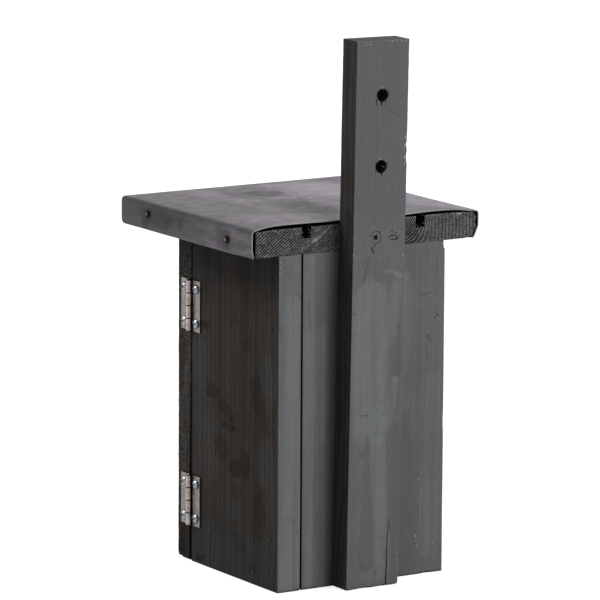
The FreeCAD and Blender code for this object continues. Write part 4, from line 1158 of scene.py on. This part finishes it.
BATTEN_WIDTH, BATTEN_HEIGHT, BATTEN_LEAN = 47.0, 422.0, 6.4
BATTEN_FOOT = 25.6
BATTEN_BACK, BATTEN_FACE = 74.5, 94.5
HOLES = ((-3.657, 379.6), (-2.832, 325.2))
HOLE_RADIUS = 5.0
SCREW = (1.4, 271.4)
MOUTH, MOUTH_RADIUS, MOUTH_DEPTH = (1.3, 271.32), 4.66, 1.3
SPLITS = (
    ([(-2.6, 375.4), (-2.8, 373.4), (-2.95, 370.8)], (1.7, 1.1, 0.1), 4.0),
    ([(1.35, 377.0), (1.55, 374), (1.65, 370.6)], (0.35, 0.5, 0.1), 1.5),
    ([(-6.9, 375.6), (-6.6, 372.8)], (0.5, 0.1), 1.0),
    ([(-3.4, 321.0), (-3.5, 319.2), (-3.8, 316.8)], (1.6, 1.0, 0.1), 3.0),
    ([(1.75, 323.0), (1.85, 320.0)], (0.45, 0.1), 1.0),
    ([(6.1, 264.6), (4.6, 262.2), (3.6, 260.4), (2.8, 258.8)], (0.1, 0.55, 0.95, 0.15), 3.0),
    ([(2.2, 266.9), (2.4, 263.9)], (0.5, 0.1), 1.0),
    (
        [(-12.5, 52), (-11.7, 45), (-11.2, 39), (-10.9, 21), (-10.3, 10), (-9.9, -1)],
        (0.1, 0.35, 0.5, 0.8, 0.85, 0.8),
        7.0,
    ),
    ([(-10.2, 270.2), (-11.2, 271.1), (-13.5, 271.7), (-16.1, 271.7)], (0.9, 0.4, 0.45, 0.5), 1.2),
    ([(-17.3, 270.9), (-17.8, 269.9), (-16.7, 268.6), (-16.0, 267.5)], (0.8, 1.0, 0.9, 0.3), 1.4),
    ([(-11.7, 268.8), (-13.4, 268.45), (-15.2, 268.3)], (0.2, 0.45, 0.3), 0.9),
    ([(-13.0, 275.2), (-13.2, 274.2)], (0.5, 0.7), 0.7),
    ([(-16.3, 274.2), (-16.4, 273.3)], (0.4, 0.6), 0.6),
)


def lean_batten(points):
    """Leans the batten towards the latch side and cuts its top square to its edges."""
    share = points[:, 2] / BATTEN_HEIGHT
    from_edge = (BATTEN_FOOT - points[:, 0]) / BATTEN_WIDTH
    points[:, 0] -= BATTEN_LEAN * share
    points[:, 2] -= BATTEN_LEAN * BATTEN_WIDTH / BATTEN_HEIGHT * from_edge * share
    return points


def build_batten():
    foot = (BATTEN_FOOT - BATTEN_WIDTH, BATTEN_BACK, 0)
    top = (BATTEN_FOOT, BATTEN_FACE, BATTEN_HEIGHT)
    batten = board(
        "mounting_batten",
        faces(batten_edge, plus_y=batten_paint, minus_y=far_stain, minus_z=plain_end, plus_z=batten_end),
        ease=(0.3, 0.9),
        relief={"+Z": (0.6, 1.8), "-X": (0.35, 3.0), "-Z": (0.9, 2.5)},
        shape=((foot, top), lean_batten),
        steps=(3, 2.5, 1.6),
        dents=(
            ((foot[0], BATTEN_FACE, 347), (3, 3, 3), 0.6),
            ((foot[0], BATTEN_FACE, 341), (3, 3, 4), 0.8),
            ((foot[0], BATTEN_FACE, 331), (3, 3, 5), 0.8),
            ((top[0], BATTEN_FACE, 262), (2, 2, 3), 0.7),
            ((top[0], BATTEN_FACE, 251), (2, 2, 2.5), 0.6),
            ((11, BATTEN_FACE, 0), (6, 3, 2.5), 0.7),
            ((-6, BATTEN_FACE, 0), (5, 3, 2), 0.6),
            ((foot[0], BATTEN_FACE, 0), (4, 3, 3), 0.9),
        ),
        seed=7,
    )
    outside = BATTEN_FACE + PAST
    holes = []
    for number, (x, z) in enumerate(HOLES):
        rim = ring(x, z, HOLE_RADIUS, 56, 0.35, number * 3.0)
        holes.append(prism(rim, BATTEN_BACK - PAST, outside, "Y"))
    carve(batten, holes, torn_wood)
    for path, widths, depth in SPLITS:
        carve(batten, [prism(split(path, widths), BATTEN_FACE - depth, outside, "Y")], torn_wood)
    mouth = ring(*MOUTH, MOUTH_RADIUS, 48, 0.3, 5.0)
    carve(batten, [prism(mouth, BATTEN_FACE - MOUTH_DEPTH, outside, "Y")], torn_wood)
    stand_for(batten, "mounting_batten", "box")


# The batten's countersunk screw, with its cross recess turned as in the photograph

SCREW_PROFILE = ((4.4, 0.05), (4.35, 0.2), (2.0, 2.6), (2.0, 38.0), (0.2, 42.0))
SCREW_SIDES = 48
RECESS_LENGTH, RECESS_WIDTH, RECESS_DEPTH = 5.0, 1.8, 1.7
RECESS_TURN = math.radians(40)
SCREW_CREASE = math.radians(30)


def build_batten_screw():
    points = []
    for radius, depth in SCREW_PROFILE:
        points += [(x, BATTEN_FACE - depth, z) for x, z in ring(*SCREW, radius, SCREW_SIDES)]
    skin = capped_tube(SCREW_SIDES, len(SCREW_PROFILE))
    made = mesh_object("batten_cross_screw", points, skin, [fixing_paint])
    face_outward(made)
    for turn in (RECESS_TURN, RECESS_TURN + math.pi / 2):
        along = Vector((math.cos(turn), math.sin(turn)))
        ends = [Vector(SCREW) + along * RECESS_LENGTH / 2 * t for t in (-1, -0.3, 0.3, 1)]
        widths = [RECESS_WIDTH * w for w in (0.6, 1.0, 1.0, 0.6)]
        slot = prism(split(ends, widths), BATTEN_FACE - RECESS_DEPTH, BATTEN_FACE + PAST, "Y")
        carve(made, [slot], fixing_paint)
    made.data.set_sharp_from_angle(angle=SCREW_CREASE)
    stand_for(made, "batten_roof_screw", "box")


# Roof sheet: one folded skin with two humps at its back edge

SHEET_THICKNESS = 0.8
SHEET_TOP = 281.2
SHEET_FOOT = 260.0
SHEET_HINGE, SHEET_LATCH = 98.75, -105.25
SHEET_FRONT, SHEET_BACK = -121.0, 74.5
SHEET_BEND = 3.0
SHEET_ROUND = 3.0
SHEET_CREASE = math.radians(50)
TUCK, TUCK_TOP, TUCK_START = 1.7, 268.0, 0.85
NAIL_DIMPLE, NAIL_DIMPLE_REACH = 0.35, 4.0
TOP_WAVE, TOP_PATCH = 0.22, (42, 36)
SIDE_WAVE, SIDE_PATCH = 0.18, (30, 14)
BACK_ROUND = 0.3
SHEET_RIM = 0.04
HUMP_SPAN = 5
HUMP_POWER = 1.6
HUMP_PLACES = (-101, -94, -86, -75, -60, -40, -20, 0, 20, 44, 58, 74, 84, 92, 97)
HUMP_HEIGHTS = (0.0, 1.2, 2.3, 2.9, 3.0, 2.4, 1.7, 1.7, 2.3, 2.9, 3.2, 3.2, 2.8, 1.3, 0.0)


def fold(x, angles):
    """The sheet's outer line round a fold whose centre is at x."""
    line = []
    for angle in angles:
        out = (math.cos(angle), math.sin(angle))
        line.append((x + SHEET_BEND * out[0], SHEET_TOP - SHEET_BEND + SHEET_BEND * out[1], *out))
    return line


def sheet_profile():
    """Outer line of the sheet as (x, z, outward x, outward z), from the hinge side's foot over the top."""
    bend, knee = SHEET_TOP - SHEET_BEND, SHEET_FOOT + BEVEL_HEIGHT
    hinge_end, latch_end = SHEET_HINGE - SHEET_BEND, SHEET_LATCH + SHEET_BEND
    line = [(SHEET_HINGE, z, 1, 0) for z in np.linspace(SHEET_FOOT, bend, 12)]
    line += fold(hinge_end, np.linspace(0, math.pi / 2, 8)[1:])
    line += [(x, SHEET_TOP, 0, 1) for x in np.linspace(hinge_end, latch_end, 84)[1:-1]]
    line += fold(latch_end, np.linspace(math.pi / 2, math.pi, 8))
    line += [(SHEET_LATCH, z, -1, 0) for z in np.linspace(bend, knee, 6)[1:]]
    slope = math.hypot(BEVEL_HEIGHT, BEVEL_WIDTH)
    out = (-BEVEL_HEIGHT / slope, -BEVEL_WIDTH / slope)
    for share in np.linspace(0, 1, 6)[1:]:
        line.append((SHEET_LATCH + BEVEL_WIDTH * share, knee - BEVEL_HEIGHT * share, *out))
    return line


def hump(x):
    """How far the back edge stands above the flat sheet, evened over a short span."""
    span = np.linspace(x - HUMP_SPAN, x + HUMP_SPAN, 9)
    return float(np.mean(np.interp(span, HUMP_PLACES, HUMP_HEIGHTS)))


def sheet_point(x, z, out, share, depth):
    """A point of the sheet: share runs from front to back, depth goes inward from the outer skin."""
    rise = max(0.0, SHEET_ROUND - (z - SHEET_FOOT))
    corner = SHEET_ROUND - math.sqrt(SHEET_ROUND**2 - rise**2)
    front, back = SHEET_FRONT + corner, SHEET_BACK - corner * BACK_ROUND
    y = front + (back - front) * share
    top = max(0.0, out[1])
    wave = TOP_WAVE * noise.noise(Vector((x / TOP_PATCH[0], y / TOP_PATCH[1], 3)))
    lift = top * (hump(x) * share**HUMP_POWER + wave)
    wave = SIDE_WAVE * noise.noise(Vector((y / SIDE_PATCH[0], z / SIDE_PATCH[1], 8 + out[0])))
    side = abs(out[0]) * wave
    for nail_y, nail_z in NAIL_PLACES:
        reach = math.hypot(y - nail_y, z - nail_z)
        side -= NAIL_DIMPLE * abs(out[0]) * math.exp(-((reach / NAIL_DIMPLE_REACH) ** 2))
    low = max(0.0, (TUCK_TOP - z) / (TUCK_TOP - SHEET_FOOT))
    near = max(0.0, (share - TUCK_START) / (1 - TUCK_START))
    side -= TUCK * max(0.0, out[0]) * low**2 * near
    shift = side - depth
    return (x + out[0] * shift, y, z + out[1] * shift + lift)


def build_sheet():
    finishes = [sheet_face, sheet_cut, sheet_under_shade, sheet_side]
    face, cut, under, side = range(len(finishes))
    line = sheet_profile()
    rims = (np.linspace(0, SHEET_RIM, 6), np.linspace(1 - SHEET_RIM, 1, 6))
    stations = np.concatenate([rims[0], np.linspace(SHEET_RIM, 1 - SHEET_RIM, 50)[1:-1], rims[1]])
    count = len(line)
    loop = count * 2
    strip = [side if abs(out_x) > out_z else face for _, _, out_x, out_z in line[:-1]]
    strip += [cut] + [under] * (count - 1) + [cut]
    points = []
    for share in stations:
        points += [sheet_point(x, z, (a, b), share, 0.0) for x, z, a, b in line]
        points += [sheet_point(x, z, (a, b), share, SHEET_THICKNESS) for x, z, a, b in reversed(line)]
    steps = len(stations) - 1
    quads = tube(loop, steps + 1)
    parts = strip * steps
    last = steps * loop
    for k in range(count - 1):
        front = [k, k + 1, loop - 2 - k, loop - 1 - k]
        quads.append(front[::-1])
        quads.append([last + corner for corner in front])
        parts += [cut, cut]
    made = mesh_object("folded_roof_sheet", points, quads, finishes, parts)
    face_outward(made)
    made.data.set_sharp_from_angle(angle=SHEET_CREASE)
    stand_for(made, "roof_sheet", "box")


# Torn fibres along the roof's sawn end and in the batten's holes

FIBRE_SEED = 7
FIBRE_MIDDLE, FIBRE_TAPER, FIBRE_BEND = 0.55, 0.7, 0.25


def fibre(source, root, reach, width):
    """One thin torn strand as points and faces."""
    root, reach = Vector(root), Vector(reach)
    side = reach.cross(Vector((0, 1, 0.2))).normalized() * width / 2
    other = reach.cross(side).normalized() * width / 2
    bend = Vector([source.uniform(-FIBRE_BEND, FIBRE_BEND) for _ in AXES]) * reach.length
    middle = root + reach * FIBRE_MIDDLE + bend
    points = []
    for centre, scale in ((root, 1.0), (middle, FIBRE_TAPER)):
        points += [centre + way * scale for way in (side, other, -side, -other)]
    points.append(root + reach)
    tip = [[4 + k, 4 + (k + 1) % 4, 8] for k in range(4)]
    return [tuple(p) for p in points], [[3, 2, 1, 0]] + tube(4) + tip


def fibre_mesh(name, strands, material):
    made = mesh_object(name, *joined(strands), [material])
    face_outward(made)
    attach(made, "box")


END_SPAN = (-98, 94)
FOOT_ROOT = (74.1, 260.5)
GROOVE_ROOT = (73.8, 272.2)
TOP_ROOT = (74.0, 279.9)
FOOT_STRANDS, TOP_STRANDS = 60, 26
RIM_STRANDS, FLOOR_STRANDS = 4, 3
HINGE_CORNER, LATCH_CORNER = (95.0, 74.2, 260.4), (-98.6, 74.1, 260.8)
CORNER_STRANDS = (
    (HINGE_CORNER, (-2.6, 0.3, -2.4), 1.0),
    (LATCH_CORNER, (-2.6, 0.3, -0.9), 0.8),
    (LATCH_CORNER, (-1.6, 0.2, 0.9), 0.8),
    (LATCH_CORNER, (-2.0, 0.3, -0.2), 0.8),
)


def roof_fibres(source):
    """Strands along the foot and the top of the roof's back end, and in its grooves."""
    draw = source.uniform
    strands = []

    def add(root, reach, width):
        strands.append(fibre(source, root, reach, width))

    for _ in range(FOOT_STRANDS):
        x = draw(*END_SPAN)
        reach = (draw(-1.4, 1.4), draw(0.0, 0.3), draw(-1.0, -0.2))
        add((x, *FOOT_ROOT), reach, draw(0.3, 0.6))
    for left, right in GROOVES:
        for _ in range(RIM_STRANDS):
            edge = source.choice((left + 0.2, right - 0.2))
            inward = 1 if edge < (left + right) / 2 else -1
            reach = (inward * draw(0.8, 3.6), draw(-0.6, 0.2), draw(-2.5, 1.5))
            add((edge, GROOVE_ROOT[0], draw(273, 279)), reach, draw(0.4, 0.9))
        for _ in range(FLOOR_STRANDS):
            reach = (draw(-1, 1), draw(-0.4, 0.3), draw(0.8, 2.6))
            add((draw(left, right), *GROOVE_ROOT), reach, draw(0.3, 0.8))
    for _ in range(TOP_STRANDS):
        x = source.choice((draw(24, 94), draw(-98, -38)))
        reach = (draw(-1.5, 1.5), draw(-0.2, 0.3), draw(0.2, 1.3))
        add((x, TOP_ROOT[0], TOP_ROOT[1] + cupped(x)), reach, draw(0.3, 0.55))
    for strand in CORNER_STRANDS:
        add(*strand)
    return strands


HOLE_RIM = 4.9
HOLE_STRANDS = 7
LOOSE_STRANDS = (((-0.6, -0.5, 4.9), (0.2, 0.2, -1.4), 1.0), ((-1.0, -1.0, 0.6), (-2.4, 0.6, -4.6), 0.8))


def hole_fibres(source):
    """Short strands round the batten's fixing holes, and a longer loose one in each."""
    strands = []
    for (x, z), (root, reach, width) in zip(HOLES, LOOSE_STRANDS):
        for _ in range(HOLE_STRANDS):
            angle = source.uniform(0, 2 * math.pi)
            out = (math.cos(angle), math.sin(angle))
            start = (x + HOLE_RIM * out[0], BATTEN_FACE - 0.8, z + HOLE_RIM * out[1])
            inward = (-1.6 * out[0], source.uniform(-0.8, 0.3), -1.6 * out[1] - 0.4)
            strands.append(fibre(source, start, inward, source.uniform(0.25, 0.5)))
        strands.append(fibre(source, (x + root[0], BATTEN_FACE + root[1], z + root[2]), reach, width))
    return strands


def build_fibres():
    source = random.Random(FIBRE_SEED)
    fibre_mesh("roof_end_fibres", roof_fibres(source), fibre_wood)
    fibre_mesh("hole_fibres", hole_fibres(source), batten_paint)


# CAD nodes that keep their shape, with the width of their eased edges

DRESSED = (
    (nickel, 0.18, "hinge_upper_wall_leaf hinge_upper_door_leaf"),
    (nickel, 0.18, "hinge_lower_wall_leaf hinge_lower_door_leaf"),
    (nickel, 0.12, "hinge_upper_pin hinge_lower_pin"),
    (nickel, 0.3, "turn_button"),
    (zinc, 0.14, "hinge_wall_screws hinge_door_screws turn_button_screw turn_button_washer"),
    (zinc, 0.12, "batten_back_screws"),
    (zinc, 0.0, "roof_screws"),
    (nail_metal, 0.0, "roof_sheet_nails"),
    (fixing_paint, 0.2, "batten_staple"),
    (fixing_paint, 0.0, "corner_brads floor_brads"),
)
EASED_STEPS = 2
EASED_ANGLE = math.radians(40)


def dress(node, material, width):
    node.data.materials.clear()
    node.data.materials.append(material)
    if width:
        bevel = node.modifiers.new("eased", "BEVEL")
        bevel.width = width * MM
        bevel.segments = EASED_STEPS
        bevel.limit_method = "ANGLE"
        bevel.angle_limit = EASED_ANGLE


def dress_nodes():
    for material, width, names in DRESSED:
        for name in names.split():
            dress(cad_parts[name], material, width)


# Stage: white floor and surroundings, a large soft lamp behind the box and a weaker one at its hinge side

FLOOR_SPAN = 14.0
FLOOR_COLOUR = rgb(0.45, 0.45, 0.45)
FLOOR_GLOW = 0.8
GLOW_START, GLOW_FULL = 0.5, 1.6
AMBIENT = 0.24
KEY_POWER, KEY_PLACE, KEY_SIZE = 51.0, (-0.96, 1.96, 1.33), 1.5
FILL_POWER, FILL_PLACE, FILL_SIZE = 29.0, (1.3, -0.8, 2.0), 1.2
LIGHT_AIM = Vector((0, 0, 0.2))


def background_seen(n):
    """1 for rays that show the background itself: seen straight, mirrored or through glass."""
    path = n.node("LightPath").outputs
    mirrored = n.math("MAXIMUM", path["Is Camera Ray"], path["Is Glossy Ray"])
    return n.math("MAXIMUM", mirrored, path["Is Transmission Ray"])


def make_world():
    world = bpy.data.worlds.new("studio")
    world.use_nodes = True
    bpy.context.scene.world = world
    n = Nodes(world.node_tree)
    strength = n.band(background_seen(n), 0.0, 1.0, AMBIENT, 1.0, "LINEAR")
    background = n.node("Background", rgb(1, 1, 1), strength)
    n.node("OutputWorld", background.outputs[0])


def make_floor():
    """A floor that shows white, keeps the box's soft shadow and turns to plain white further away."""
    half = FLOOR_SPAN / 2 / MM
    corners = [(-half, -half, 0), (half, -half, 0), (half, half, 0), (-half, half, 0)]
    material = bpy.data.materials.new("floor")
    material.use_nodes = True
    n = Nodes(material.node_tree)
    reach = n.length(n.node("TexCoord").outputs["Object"])
    rising = n.band(reach, GLOW_START, GLOW_FULL, FLOOR_GLOW, 1.0, "LINEAR")
    glow = n.node("Emission", rgb(1, 1, 1), n.mul(background_seen(n), rising))
    diffuse = n.node("BsdfDiffuse", FLOOR_COLOUR)
    both = n.node("AddShader", diffuse.outputs[0], glow.outputs[0])
    n.node("OutputMaterial", both.outputs[0])
    floor = mesh_object("floor", corners, [[0, 1, 2, 3]], [material])


def make_lamp(name, place, size, power):
    lamp = bpy.data.objects.new(name, bpy.data.lights.new(name, "AREA"))
    lamp.data.energy = power
    lamp.data.size = size
    lamp.location = place
    lamp.rotation_euler = (LIGHT_AIM - Vector(place)).to_track_quat("-Z", "Y").to_euler()
    bpy.context.scene.collection.objects.link(lamp)


make_camera()
build_walls()
build_door_and_floor()
build_roof_board()
build_batten()
build_batten_screw()
build_sheet()
build_fibres()
dress_nodes()
make_world()
make_floor()
make_lamp("key", KEY_PLACE, KEY_SIZE, KEY_POWER)
make_lamp("fill", FILL_PLACE, FILL_SIZE, FILL_POWER)
bpy.context.scene.view_settings.view_transform = "Standard"
